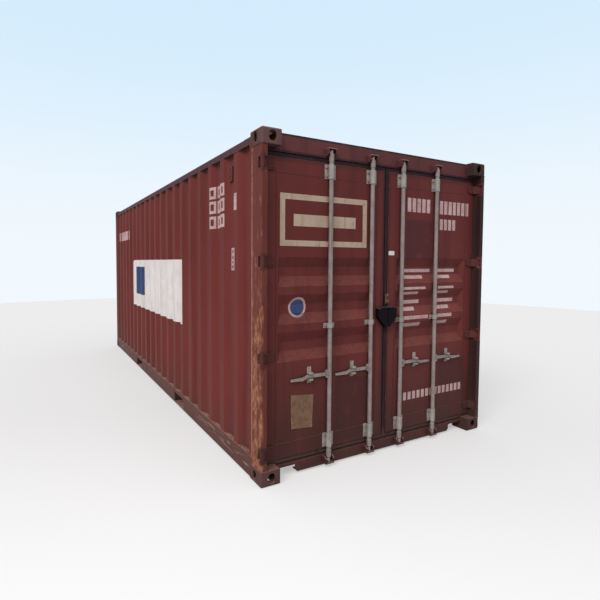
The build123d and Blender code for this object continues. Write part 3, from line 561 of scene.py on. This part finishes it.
def doorBolts(side):
    setup = fittingSetup
    mesh = bmesh.new()
    rng = random.Random(setup["seeds"][side])
    for low, high in partBoxes(side + "_door_fittings"):
        middle = (low + high) / 2
        if high.y - low.y < setup["narrow"]:
            for z in (low.z + setup["catchEnd"], high.z - setup["catchEnd"]):
                turned(mesh, (setup["face"] + setup["catchPlate"], middle.y, z), doorOutward, "rivet")
            continue
        ends = [low.z + setup["guideEnd"], high.z - setup["guideEnd"]]
        for z in [middle.z] if high.z - low.z < setup["short"] else ends:
            for y in (low.y + setup["edge"], high.y - setup["edge"]):
                boltHead(mesh, (setup["face"] + setup["guideFlange"], y, z), rng.random())
    makePiece(side + "_door_bolts", mesh, finish["galvanised"], side + "_leaf")


def strapStuds(side):
    setup = fittingSetup
    mesh = bmesh.new()
    for low, high in partBoxes(side + "_hinge_blades"):
        inner = high.y if side == "left" else low.y
        for step in setup["studSteps"]:
            for z in (low.z + setup["studEnd"], high.z - setup["studEnd"]):
                place = (setup["face"] + setup["strap"], inner + outwards[side] * step, z)
                turned(mesh, place, doorOutward, "stud")
    makePiece(side + "_strap_studs", mesh, finish["hinge"], side + "_leaf")


for side in outwards:
    doorBolts(side)
    strapStuds(side)
print("bolts on both leaves")


# Paint marks: thin films cut out of the panels' own faces, so that they follow every rib
def rectangle(a0, a1, z0, z1):
    return [(a0, z0), (a1, z0), (a1, z1), (a0, z1)]


def rounded(a0, a1, z0, z1, radius, corners=(0, 1, 2, 3), steps=6):
    points = []
    ends = ((a1, z1, -1, -1), (a0, z1, 1, -1), (a0, z0, 1, 1), (a1, z0, -1, 1))
    for k, (a, z, inA, inZ) in enumerate(ends):
        if k not in corners:
            points.append((a, z))
            continue
        for i in range(steps + 1):
            angle = math.radians(90 * k + 90 * i / steps)
            points.append((a + radius * (inA + math.cos(angle)), z + radius * (inZ + math.sin(angle))))
    return points


def disc(a, z, radius, count=48):
    angles = [2 * math.pi * i / count for i in range(count)]
    return [(a + radius * math.cos(angle), z + radius * math.sin(angle)) for angle in angles]


def outlineOf(a0, a1, z0, z1, line):
    return [rectangle(a0, a1, z1 - line, z1), rectangle(a0, a1, z0, z0 + line),
            rectangle(a0, a0 + line, z0 + line, z1 - line), rectangle(a1 - line, a1, z0 + line, z1 - line)]


def blocks(a0, a1, z0, z1, count, gap):
    wide = (a1 - a0 - gap * (count - 1)) / count
    starts = [a0 + i * (wide + gap) for i in range(count)]
    return [rectangle(start, start + wide, z0, z1) for start in starts]


# The faces that carry paint: which way they look, and how deep a rib may lie and still be painted
doorCarrier = {"outward": (1, 0, 0), "along": (0, 1, 0), "deepest": 2.914}
carrierSetup = {
    "left_leaf": dict(doorCarrier, parts=("left_door_panel", "left_door_frame")),
    "right_leaf": dict(doorCarrier, parts=("right_door_panel", "right_door_frame")),
    "container": {"outward": (0, -1, 0), "along": (1, 0, 0), "deepest": 1.174,
                  "parts": ("side_wall_left",)},
}
coatSetup = {"first": 0.0006, "tag": 0.0010, "second": 0.0011, "thickness": 0.0004, "facing": 0.3,
             "flat": 0.01}


def carrierSheet(carrier):
    outward = Vector(carrier["outward"])
    faces = bmesh.new()
    for part in carrier["parts"]:
        faces.from_mesh(nodes[part].data)
    hidden = [face for face in faces.faces if face.normal.dot(outward) < coatSetup["facing"]
              or face.calc_center_median().dot(outward) < carrier["deepest"]]
    bmesh.ops.delete(faces, geom=hidden, context="FACES")
    bmesh.ops.remove_doubles(faces, verts=faces.verts[:], dist=1e-5)
    bmesh.ops.dissolve_limit(faces, angle_limit=coatSetup["flat"], verts=faces.verts[:],
                             edges=faces.edges[:])
    sheet = bpy.data.meshes.new("carrier")
    faces.to_mesh(sheet)
    faces.free()
    return sheet


def paintMark(name, outlines, coat, material, body):
    carrier = carrierSetup[body]
    along = Vector(carrier["along"])
    sheet = carrierSheet(carrier)
    paint = bmesh.new()
    for outline in outlines:
        cut = bmesh.new()
        cut.from_mesh(sheet)
        corners = [along * (a * mm) + Vector((0, 0, z * mm)) for a, z in outline]
        for first, second in zip(corners, corners[1:] + corners[:1]):
            run = second - first
            across = along * run.z - Vector((0, 0, run.dot(along)))
            bmesh.ops.bisect_plane(cut, geom=cut.verts[:] + cut.edges[:] + cut.faces[:], plane_co=first,
                                   plane_no=across, clear_outer=True)
        bmesh.ops.triangulate(cut, faces=cut.faces[:])
        cutOut = bpy.data.meshes.new("cut")
        cut.to_mesh(cutOut)
        paint.from_mesh(cutOut)
        cut.free()
    bmesh.ops.translate(paint, verts=paint.verts[:], vec=Vector(carrier["outward"]) * coatSetup[coat])
    bmesh.ops.solidify(paint, geom=paint.faces[:], thickness=coatSetup["thickness"])
    makePiece(name, paint, material, body)


def markPaint(name, look):
    material, tree, shader, place = newMaterial(name)
    clouds = noise(tree, place, look["cloudScale"], 4.0, 0.6)
    colour = mix(tree, ease(tree, clouds, 0.35, 0.7), look["colour"], look["faded"])
    runs = noise(tree, place, 1.0, 5.0, 0.65, (34.0, 34.0, 2.5))
    colour = mix(tree, times(tree, ease(tree, runs, 0.5, 0.72), look["streaks"]), colour, look["stain"])
    chips = noise(tree, place, look["chipScale"], 6.0, 0.72)
    colour = mix(tree, ease(tree, chips, 0.66 - look["chips"], 0.68 - look["chips"]), colour, look["under"])
    # painted shade: hollows and corners darkened by ambient occlusion, in the stain colour
    creviceStainAndShade = times(tree, ease(tree, openness(tree, 0.06), 0.85, 0.3), 0.5)
    colour = mix(tree, creviceStainAndShade, colour, look["stain"])
    dress(tree, shader, {
        "Base Color": colour,
        "Roughness": 0.55,
        "Specular IOR Level": 0.2,
        "Normal": bumps(tree, chips, 0.0004, 0.4),
    })
    return material


creamMark = {"colour": (196, 172, 150), "faded": (184, 158, 136), "stain": (128, 84, 70), "streaks": 0.4,
             "cloudScale": 6.0, "chipScale": 48.0, "chips": 0.02, "under": (100, 48, 44)}
whiteMark = dict(creamMark, colour=(208, 176, 172), faded=(190, 154, 150), chips=0.05)
whitePanel = dict(creamMark, colour=(238, 229, 224), faded=(226, 217, 211), stain=(174, 150, 140),
                  streaks=0.35, chips=-0.04, chipScale=30.0)
blueBlock = dict(creamMark, colour=(50, 66, 106), faded=(62, 78, 114), stain=(42, 48, 70), chips=-0.02,
                 under=(206, 206, 204))
faintMark = dict(creamMark, colour=(142, 100, 96), faded=(128, 88, 84), chips=0.0)
blueDisc = dict(blueBlock, colour=(62, 76, 118), faded=(84, 94, 128), chips=0.03, under=(170, 150, 146))

film = {
    "cream": markPaint("cream mark paint", creamMark),
    "white": markPaint("white mark paint", whiteMark),
    "panel": markPaint("white panel paint", whitePanel),
    "blue": markPaint("blue block paint", blueBlock),
    "disc": markPaint("blue disc paint", blueDisc),
    "faint": markPaint("faint mark paint", faintMark),
}

# Plain shapes where the doors and the side carry paint: along the face, then height, in millimetres
doorMarks = {
    "frame": (-1024, -191, 1761, 2153, 44),
    "bar": (-905, -310, 1912, 2002),
    "disc": (-850, 1293, 80, 62),
    "rows": [(276, 559, 2089, 2211, 5, 16), (687, 1090, 2089, 2211, 7, 16), (692, 904, 1944, 2043, 4, 16)],
    "lines": [(238, 607, 1483, 1583), (238, 520, 1346, 1422), (238, 470, 1195, 1303),
              (238, 560, 1053, 1163), (684, 942, 1483, 1583), (684, 900, 1346, 1422),
              (684, 930, 1195, 1303), (684, 880, 1056, 1163)],
    "lineShares": {"bar": 0.3, "foot": 0.4, "length": 0.7},  # each line is two bars, the lower one shorter
    "lowRow": (261, 1035, 402, 473, 14, 18),
    "tag": (59, 125, 1703, 1739, 5),
}
sideMarks = {
    "panel": (-1410, 1165, 955, 1665, 40, (1,)),
    "block": (-1194, -633, 1144, 1564, 40),
    "row": (-2640, -1705, 2010, 2160, 8, 26),
    "triples": {"edges": [(2000, 2096), (2112, 2183), (2253, 2336)], "line": 26,
                "levels": [(2200, 2306), (2070, 2180), (1936, 2046)]},
    "column": (2540, 2592, 2052, 2186),
    "smallPanel": (2418, 2552, 1570, 1755),
    "smallRows": [(2432, 2540, z0, z1, 3, 12)
                  for z0, z1 in ((1712, 1738), (1664, 1690), (1628, 1648), (1588, 1612))],
}


def paintDoors():
    marks = doorMarks
    cream = outlineOf(*marks["frame"]) + [rectangle(*marks["bar"])]
    paintMark("left_door_cream_marks", cream, "first", film["cream"], "left_leaf")
    a, z, rim, inner = marks["disc"]
    paintMark("left_door_disc_rim", [disc(a, z, rim)], "first", film["white"], "left_leaf")
    paintMark("left_door_disc", [disc(a, z, inner)], "second", film["disc"], "left_leaf")
    white = []
    for row in marks["rows"]:
        white += blocks(*row)
    shares = marks["lineShares"]
    for a0, a1, z0, z1 in marks["lines"]:
        bar = (z1 - z0) * shares["bar"]
        foot = z0 + bar * shares["foot"]
        white += [rectangle(a0, a1, z1 - bar, z1),
                  rectangle(a0, a0 + (a1 - a0) * shares["length"], foot, foot + bar)]
    white += blocks(*marks["lowRow"])
    paintMark("right_door_white_marks", white, "first", film["white"], "right_leaf")
    paintMark("right_door_tag", [rounded(*marks["tag"])], "tag", film["panel"], "right_leaf")


def paintSide():
    marks = sideMarks
    paintMark("side_white_panel", [rounded(*marks["panel"])], "first", film["panel"], "container")
    paintMark("side_blue_block", [rounded(*marks["block"])], "second", film["blue"], "container")
    white = [rectangle(*marks["column"])] + blocks(*marks["row"])
    triples = marks["triples"]
    for z0, z1 in triples["levels"]:
        for a0, a1 in triples["edges"]:
            white += outlineOf(a0, a1, z0, z1, triples["line"])
    white.append(rectangle(*marks["smallPanel"]))
    paintMark("side_white_marks", white, "first", film["white"], "container")
    small = []
    for row in marks["smallRows"]:
        small += blocks(*row)
    paintMark("side_small_rows", small, "second", film["faint"], "container")


paintDoors()
paintSide()
print("marks painted")


# Weld beads: uneven rounded seams laid along the joints
beadSetup = {
    "step": 0.012, "sides": 6, "radius": 0.0042, "ripple": 0.3, "seed": 3,
    "castRadius": 0.0034,  # round the ends of posts, at the castings
    "postLine": 1.2128,
    "wallInset": 0.001,
    "sillRise": 0.07, "sillTop": 0.094,
    "frontInset": 0.002, "frontPostSpan": 0.110,
    "roofSeams": (-1.6720, -0.6270, 0.4180, 1.4630), "roofDrop": 0.020, "roofMargin": 0.004,
    "roofRadius": 0.003,
    "posts": {"left": ("rubbedBead", 0.0052), "right": ("farPost", 0.003)},
    "headerLift": 0.002, "headerInset": 0.003, "headerStop": 0.03,
}
rayStarts = {"y": 1.3, "x": -3.2}  # outside the walls that the rays look at
raySteps = {"y": 400, "x": 150}
rayTrim = 0.001  # a share of the wall's length, left out at each end


def layBead(mesh, corners, rng, radius=beadSetup["radius"]):
    corners = [Vector(corner) for corner in corners]
    points = []
    for first, second in zip(corners, corners[1:]):
        count = max(1, round((second - first).length / beadSetup["step"]))
        points += [first.lerp(second, i / count) for i in range(count)]
    points.append(corners[-1])
    rings = []
    for i, point in enumerate(points):
        run = (points[min(i + 1, len(points) - 1)] - points[max(i - 1, 0)]).normalized()
        guide = Vector((0, 0, 1)) if abs(run.z) < 0.7 else Vector((1, 0, 0))
        across = run.cross(guide).normalized()
        rise = across.cross(run)
        size = radius * (1 + beadSetup["ripple"] * (rng.random() - 0.5))
        angles = [2 * math.pi * k / beadSetup["sides"] for k in range(beadSetup["sides"])]
        rings.append([mesh.verts.new(point + (across * math.cos(angle) + rise * math.sin(angle)) * size)
                      for angle in angles])
    closeRings(mesh, rings)


def upright(x, y, z0, z1):
    return [(x, y, z0), (x, y, z1)]


def wallLine(name, looking, side, level):
    shape = bmesh.new()
    shape.from_mesh(nodes[name].data)
    tree = BVHTree.FromBMesh(shape)
    low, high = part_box(name)
    points = []
    steps = raySteps[looking]
    for i in range(steps + 1):
        share = rayTrim + (1 - 2 * rayTrim) * i / steps
        if looking == "y":
            x = low.x + (high.x - low.x) * share
            hit = tree.ray_cast(Vector((x, side * rayStarts["y"], level)), Vector((0, -side, 0)))[0]
        else:
            y = low.y + (high.y - low.y) * share
            hit = tree.ray_cast(Vector((rayStarts["x"], y, level)), Vector((1, 0, 0)))[0]
        if hit:
            points.append(hit)
    shape.free()
    return points


# Where the container's seams run, read off its parts
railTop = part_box("bottom_side_rail_left")[1].z
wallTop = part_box("side_wall_left")[1].z
postLow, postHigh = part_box("rear_corner_post_left")
header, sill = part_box("door_header"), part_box("door_sill")
frontWall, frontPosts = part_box("front_wall"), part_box("front_corner_posts")
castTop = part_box("casting_rear_left_top")[0].z
castLevels = (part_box("casting_rear_left_bottom")[1].z, castTop)
castInner = -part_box("casting_rear_left_top")[1].y


def weldSide(mesh, rng, name, side):
    setup = beadSetup
    for level in (railTop + setup["wallInset"], wallTop - setup["wallInset"]):
        layBead(mesh, wallLine("side_wall_" + name, "y", side, level), rng)
    outer, inner = side * abs(postLow.y), side * abs(postHigh.y)
    for level in castLevels:
        layBead(mesh, [(postLow.x, outer, level), (postHigh.x, outer, level), (postHigh.x, inner, level)],
                rng, setup["castRadius"])
    layBead(mesh, upright(header[1].x, side * castInner, castTop, header[1].z), rng)
    sillFoot = sill[0].z + setup["sillRise"]
    layBead(mesh, upright(sill[1].x, side * castInner, sillFoot, setup["sillTop"]), rng)
    layBead(mesh, upright(frontPosts[1].x, side * setup["postLine"], railTop, wallTop), rng)
    layBead(mesh, upright(frontWall[0].x + setup["frontInset"], side * abs(frontWall[0].y), frontWall[0].z,
                          frontWall[1].z), rng)
    outer, inner = side * frontPosts[1].y, side * (frontPosts[1].y - setup["frontPostSpan"])
    for level in castLevels:
        layBead(mesh, [(frontPosts[1].x, outer, level), (frontPosts[0].x, outer, level),
                       (frontPosts[0].x, inner, level)], rng, setup["castRadius"])


def weldContainer(rng):
    setup = beadSetup
    mesh = bmesh.new()
    for name, side in outwards.items():
        weldSide(mesh, rng, name, side)
    for level in (frontWall[0].z + setup["wallInset"], frontWall[1].z - setup["wallInset"]):
        layBead(mesh, wallLine("front_wall", "x", -1, level), rng)
    low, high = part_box("roof_panel")
    deck = high.z - setup["roofDrop"]
    for x in (low.x, *setup["roofSeams"], high.x):
        ends = [(x, low.y + setup["roofMargin"], deck), (x, high.y - setup["roofMargin"], deck)]
        layBead(mesh, ends, rng, setup["roofRadius"])
    makePiece("container_weld_beads", mesh, finish["bead"], "container")


def weldPost(rng, name, side):
    setup = beadSetup
    look, radius = setup["posts"][name]
    mesh = bmesh.new()
    layBead(mesh, upright(postLow.x, side * setup["postLine"], railTop, wallTop), rng, radius)
    layBead(mesh, upright(header[1].x + setup["headerLift"], side * (castInner - setup["headerInset"]),
                          castTop, header[1].z - setup["headerStop"]), rng, radius)
    makePiece(name + "_post_weld_beads", mesh, finish[look], "container")


# Weld seams round the door panels, then along the hinge arms in the notches of the posts
leafSetup = {"seed": 5, "radius": 0.0024}
armSetup = {"seed": 21, "pin": 0.015, "lap": 0.006, "bend": 0.018, "rise": 0.0365, "radius": 0.0027,
            "start": 0.013, "end": 0.9}


def weldLeaf(side):
    mesh = bmesh.new()
    low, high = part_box(side + "_door_panel")
    face = fittingSetup["face"]
    loop = [(face, low.y, low.z), (face, high.y, low.z), (face, high.y, high.z), (face, low.y, high.z),
            (face, low.y, low.z)]
    layBead(mesh, loop, random.Random(leafSetup["seed"]), leafSetup["radius"])
    makePiece(side + "_door_weld_beads", mesh, finish["doorBead"], side + "_leaf")


def armWelds(side):
    setup = armSetup
    rng = random.Random(setup["seed"])
    mesh = bmesh.new()
    away = outwards[side]
    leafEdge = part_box(side + "_door_frame")[0 if side == "left" else 1].y
    for low, high in partBoxes(side + "_hinge_blades"):
        outer = low.y if side == "left" else high.y
        pin = Vector((high.x - setup["pin"], outer - away * setup["pin"], 0))
        bend = Vector((fittingSetup["face"] + setup["lap"], leafEdge - away * setup["bend"], 0))
        first = pin + (bend - pin).normalized() * setup["start"]
        last = pin.lerp(bend, setup["end"])
        middle = (low.z + high.z) / 2
        for z in (middle - setup["rise"], middle + setup["rise"]):
            layBead(mesh, [(first.x, first.y, z), (last.x, last.y, z)], rng, setup["radius"])
    makePiece(side + "_hinge_arm_welds", mesh, finish["hinge"], side + "_leaf")


containerDraws = random.Random(beadSetup["seed"])
weldContainer(containerDraws)
for name, side in outwards.items():
    weldPost(containerDraws, name, side)
for side in outwards:
    weldLeaf(side)
    armWelds(side)
print("weld beads laid")


# The bare tan plate low on the left leaf, wavy and bent at one corner, with its rivets
plateSetup = {
    "corners": ((-0.920, 0.360), (-0.727, 0.345), (-0.922, 0.628), (-0.713, 0.602)),
    "thickness": 0.0022, "cells": (12, 15),
    "bend": 0.007, "bentShares": (0.22, 0.18),
    "bow": 0.0012, "waves": (7, 5), "waveStarts": (2, 1),
    "inset": 0.08, "rivetLift": 0.003,
}
plateLook = dict(creamMark, colour=(190, 148, 124), faded=(162, 122, 86), stain=(138, 100, 62),
                 cloudScale=21.0, streaks=0.6, chips=0.0, chipScale=40.0, under=(112, 80, 58))


def onPlate(s, t):
    corners = [Vector((0, y, z)) for y, z in plateSetup["corners"]]
    return corners[0].lerp(corners[1], s).lerp(corners[2].lerp(corners[3], s), t)


def tanPlate():
    setup = plateSetup
    mesh = bmesh.new()
    outside = fittingSetup["face"] + setup["thickness"]
    acrossCells, upCells = setup["cells"]
    grid = []
    for i in range(acrossCells + 1):
        column = []
        for j in range(upCells + 1):
            s, t = i / acrossCells, j / upCells
            bent = max(0.0, 1 - (1 - s) / setup["bentShares"][0] - t / setup["bentShares"][1])
            wave = (math.sin(setup["waves"][0] * s + setup["waveStarts"][0])
                    * math.sin(setup["waves"][1] * t + setup["waveStarts"][1]))
            lift = outside + setup["bow"] * (1 + wave) + setup["bend"] * bent
            column.append(mesh.verts.new(onPlate(s, t) + Vector((lift, 0, 0))))
        grid.append(column)
    for i in range(acrossCells):
        for j in range(upCells):
            mesh.faces.new((grid[i][j], grid[i + 1][j], grid[i + 1][j + 1], grid[i][j + 1]))
    bmesh.ops.solidify(mesh, geom=mesh.faces[:], thickness=setup["thickness"])
    makePiece("bare_tan_plate", mesh, markPaint("tan plate", plateLook), "left_leaf")
    rivets = bmesh.new()
    inset = setup["inset"]
    for s in (inset, 1 - 2 * inset):
        for t in (2 * inset, 1 - inset):
            spot = onPlate(s, t) + Vector((outside + setup["rivetLift"], 0, 0))
            turned(rivets, spot, doorOutward, "rivet")
    makePiece("tan_plate_rivets", rivets, finish["galvanised"], "left_leaf")


tanPlate()


# The rusty bracket over the lock box
bracketSetup = {"y": (0.026, 0.072), "z": (1.285, 1.370), "thickness": 0.006, "bevel": 0.0018,
                "boltEnd": 0.018, "boltTurns": (0.2, 0.6)}


def rustyBracket():
    setup = bracketSetup
    mesh = bmesh.new()
    face, thickness = fittingSetup["face"], setup["thickness"]
    y0, y1 = setup["y"]
    z0, z1 = setup["z"]
    middle = (y0 + y1) / 2
    bmesh.ops.create_cube(mesh, size=1.0)
    bmesh.ops.scale(mesh, vec=(thickness, y1 - y0, z1 - z0), verts=mesh.verts[:])
    bmesh.ops.translate(mesh, vec=(face + thickness / 2, middle, (z0 + z1) / 2), verts=mesh.verts[:])
    bmesh.ops.bevel(mesh, geom=mesh.edges[:], offset=setup["bevel"], segments=2, affect="EDGES")
    for z, turn in zip((z0 + setup["boltEnd"], z1 - setup["boltEnd"]), setup["boltTurns"]):
        boltHead(mesh, (face + thickness, middle, z), turn)
    makePiece("rusty_bracket", mesh, finish["rusty"], "right_leaf")


rustyBracket()
print("plates fixed")


# Ridges moulded along the door seals: above and below the leaf, then down the seam
sealSetup = {"radius": 0.0026, "steps": (0.005, 0.0125), "inset": 0.009, "shorter": 0.12, "margin": 0.004,
             "seed": 9}


def sealRidges(side):
    setup = sealSetup
    away = outwards[side]
    mesh = bmesh.new()
    rng = random.Random(setup["seed"])
    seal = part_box(side + "_door_gasket")
    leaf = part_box(side + "_door_frame")
    hingeEdge, seamEdge = (leaf[0].y, leaf[1].y) if side == "left" else (leaf[1].y, leaf[0].y)
    front, inset = seal[1].x, setup["inset"]
    for z in (leaf[1].z + inset, seal[1].z - inset):
        layBead(mesh, [(front, hingeEdge, z), (front, seamEdge, z)], rng, setup["radius"])
    for z in (leaf[0].z - inset, seal[0].z + inset):
        layBead(mesh, [(front, hingeEdge - away * setup["shorter"], z), (front, seamEdge, z)], rng,
                setup["radius"])
    for step in setup["steps"]:
        layBead(mesh, upright(front, seamEdge - away * step, seal[0].z + setup["margin"],
                              seal[1].z - setup["margin"]), rng, setup["radius"])
    makePiece(side + "_seal_ridges", mesh, finish["rubber"], side + "_leaf")


for side in outwards:
    sealRidges(side)


# Screws in the plywood floor, over every crossmember
floorSetup = {"screws": 15, "edge": 0.06, "overBar": 0.020}


def floorScrews():
    setup = floorSetup
    mesh = bmesh.new()
    low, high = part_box("floor_panel")
    span = high.y - low.y - 2 * setup["edge"]
    for barLow, _ in partBoxes("crossmembers"):
        for i in range(setup["screws"]):
            y = low.y + setup["edge"] + span * i / (setup["screws"] - 1)
            turned(mesh, (barLow.x + setup["overBar"], y, high.z), (0, 0, 1), "screw")
    makePiece("floor_screws", mesh, finish["galvanised"], "container")


floorScrews()
print("small pieces in place")


# Floor, sky and light
stageSetup = {
    "floorRadius": 14.5,
    "floorLevel": -0.002,
    "floorSeen": (234, 232, 230),
    "floorNear": (253, 251, 249),
    "brightFrom": (6.2, -3.2, 0.0),  # the floor is brightest round this point
    "brightReach": (6.0, 2.0),
    "floorBounce": (140, 138, 136),  # what the floor gives back to the container
    "floorGlow": 0.5,
    "skyHigh": (212, 236, 253),
    "skyLow": (241, 248, 254),
    "lightAbove": 0.86,
    "lightLevel": 0.6,
    "lightColour": (242, 247, 255),
    "sunStrength": 1.7,
    "sunSpread": 30.0,
    "sunFrom": (0.45, -0.75, 0.80),
}


def makeFloor():
    bpy.ops.mesh.primitive_circle_add(vertices=128, radius=stageSetup["floorRadius"], fill_type="NGON",
                                      location=(0, 0, stageSetup["floorLevel"]))
    floor = bpy.context.object
    floor.name = "studio_floor"
    material, tree, shader, place = newMaterial("studio floor")
    away = node(tree, "VectorMath", {0: place, 1: stageSetup["brightFrom"]}, operation="DISTANCE")
    nearness = ease(tree, away.outputs["Value"], *stageSetup["brightReach"])
    seen = mix(tree, nearness, stageSetup["floorSeen"], stageSetup["floorNear"])
    path = node(tree, "LightPath")
    watched = sums(tree, "MAXIMUM", path.outputs["Is Camera Ray"], path.outputs["Is Glossy Ray"])
    # the camera sees a part of the tone as the floor's own glow, which keeps the shadows faint
    lit = mix(tree, stageSetup["floorGlow"], seen, (0, 0, 0))
    dress(tree, shader, {
        "Base Color": mix(tree, watched, stageSetup["floorBounce"], lit),
        "Emission Color": seen,
        "Emission Strength": times(tree, watched, stageSetup["floorGlow"]),
        "Roughness": 0.95,
        "Specular IOR Level": 0.0,
    })
    floor.data.materials.append(material)


def makeSky():
    world = bpy.data.worlds.new("sky")
    bpy.context.scene.world = world
    world.use_nodes = True
    tree = world.node_tree
    tree.nodes.clear()
    level = axesOf(tree, node(tree, "TexCoord").outputs["Generated"])[2]
    seen = mix(tree, ease(tree, level, 0.02, 0.5), stageSetup["skyLow"], stageSetup["skyHigh"])
    background = node(tree, "Background", {"Color": seen, "Strength": 1.0})
    strength = node(tree, "MapRange", {0: level, 1: 0.0, 2: 0.9, 3: stageSetup["lightLevel"],
                                       4: stageSetup["lightAbove"]}).outputs[0]
    light = node(tree, "Background", {"Color": tone(stageSetup["lightColour"]), "Strength": strength})
    path = node(tree, "LightPath")
    bright = sums(tree, "MAXIMUM", path.outputs["Is Camera Ray"], path.outputs["Is Transmission Ray"])
    switch = node(tree, "MixShader", {0: bright, 1: light.outputs[0], 2: background.outputs[0]})
    output = node(tree, "OutputWorld", {0: switch.outputs[0]})
    output.is_active_output = True


def makeSun():
    lamp = bpy.data.lights.new("soft sun", "SUN")
    lamp.energy = stageSetup["sunStrength"]
    lamp.angle = math.radians(stageSetup["sunSpread"])
    sun = bpy.data.objects.new("soft_sun", lamp)
    sun.rotation_mode = "QUATERNION"
    sun.rotation_quaternion = Vector(stageSetup["sunFrom"]).to_track_quat("Z", "Y")
    bpy.context.scene.collection.objects.link(sun)


makeFloor()
makeSky()
makeSun()
bpy.context.scene.view_settings.view_transform = "Standard"
print("stage lit")
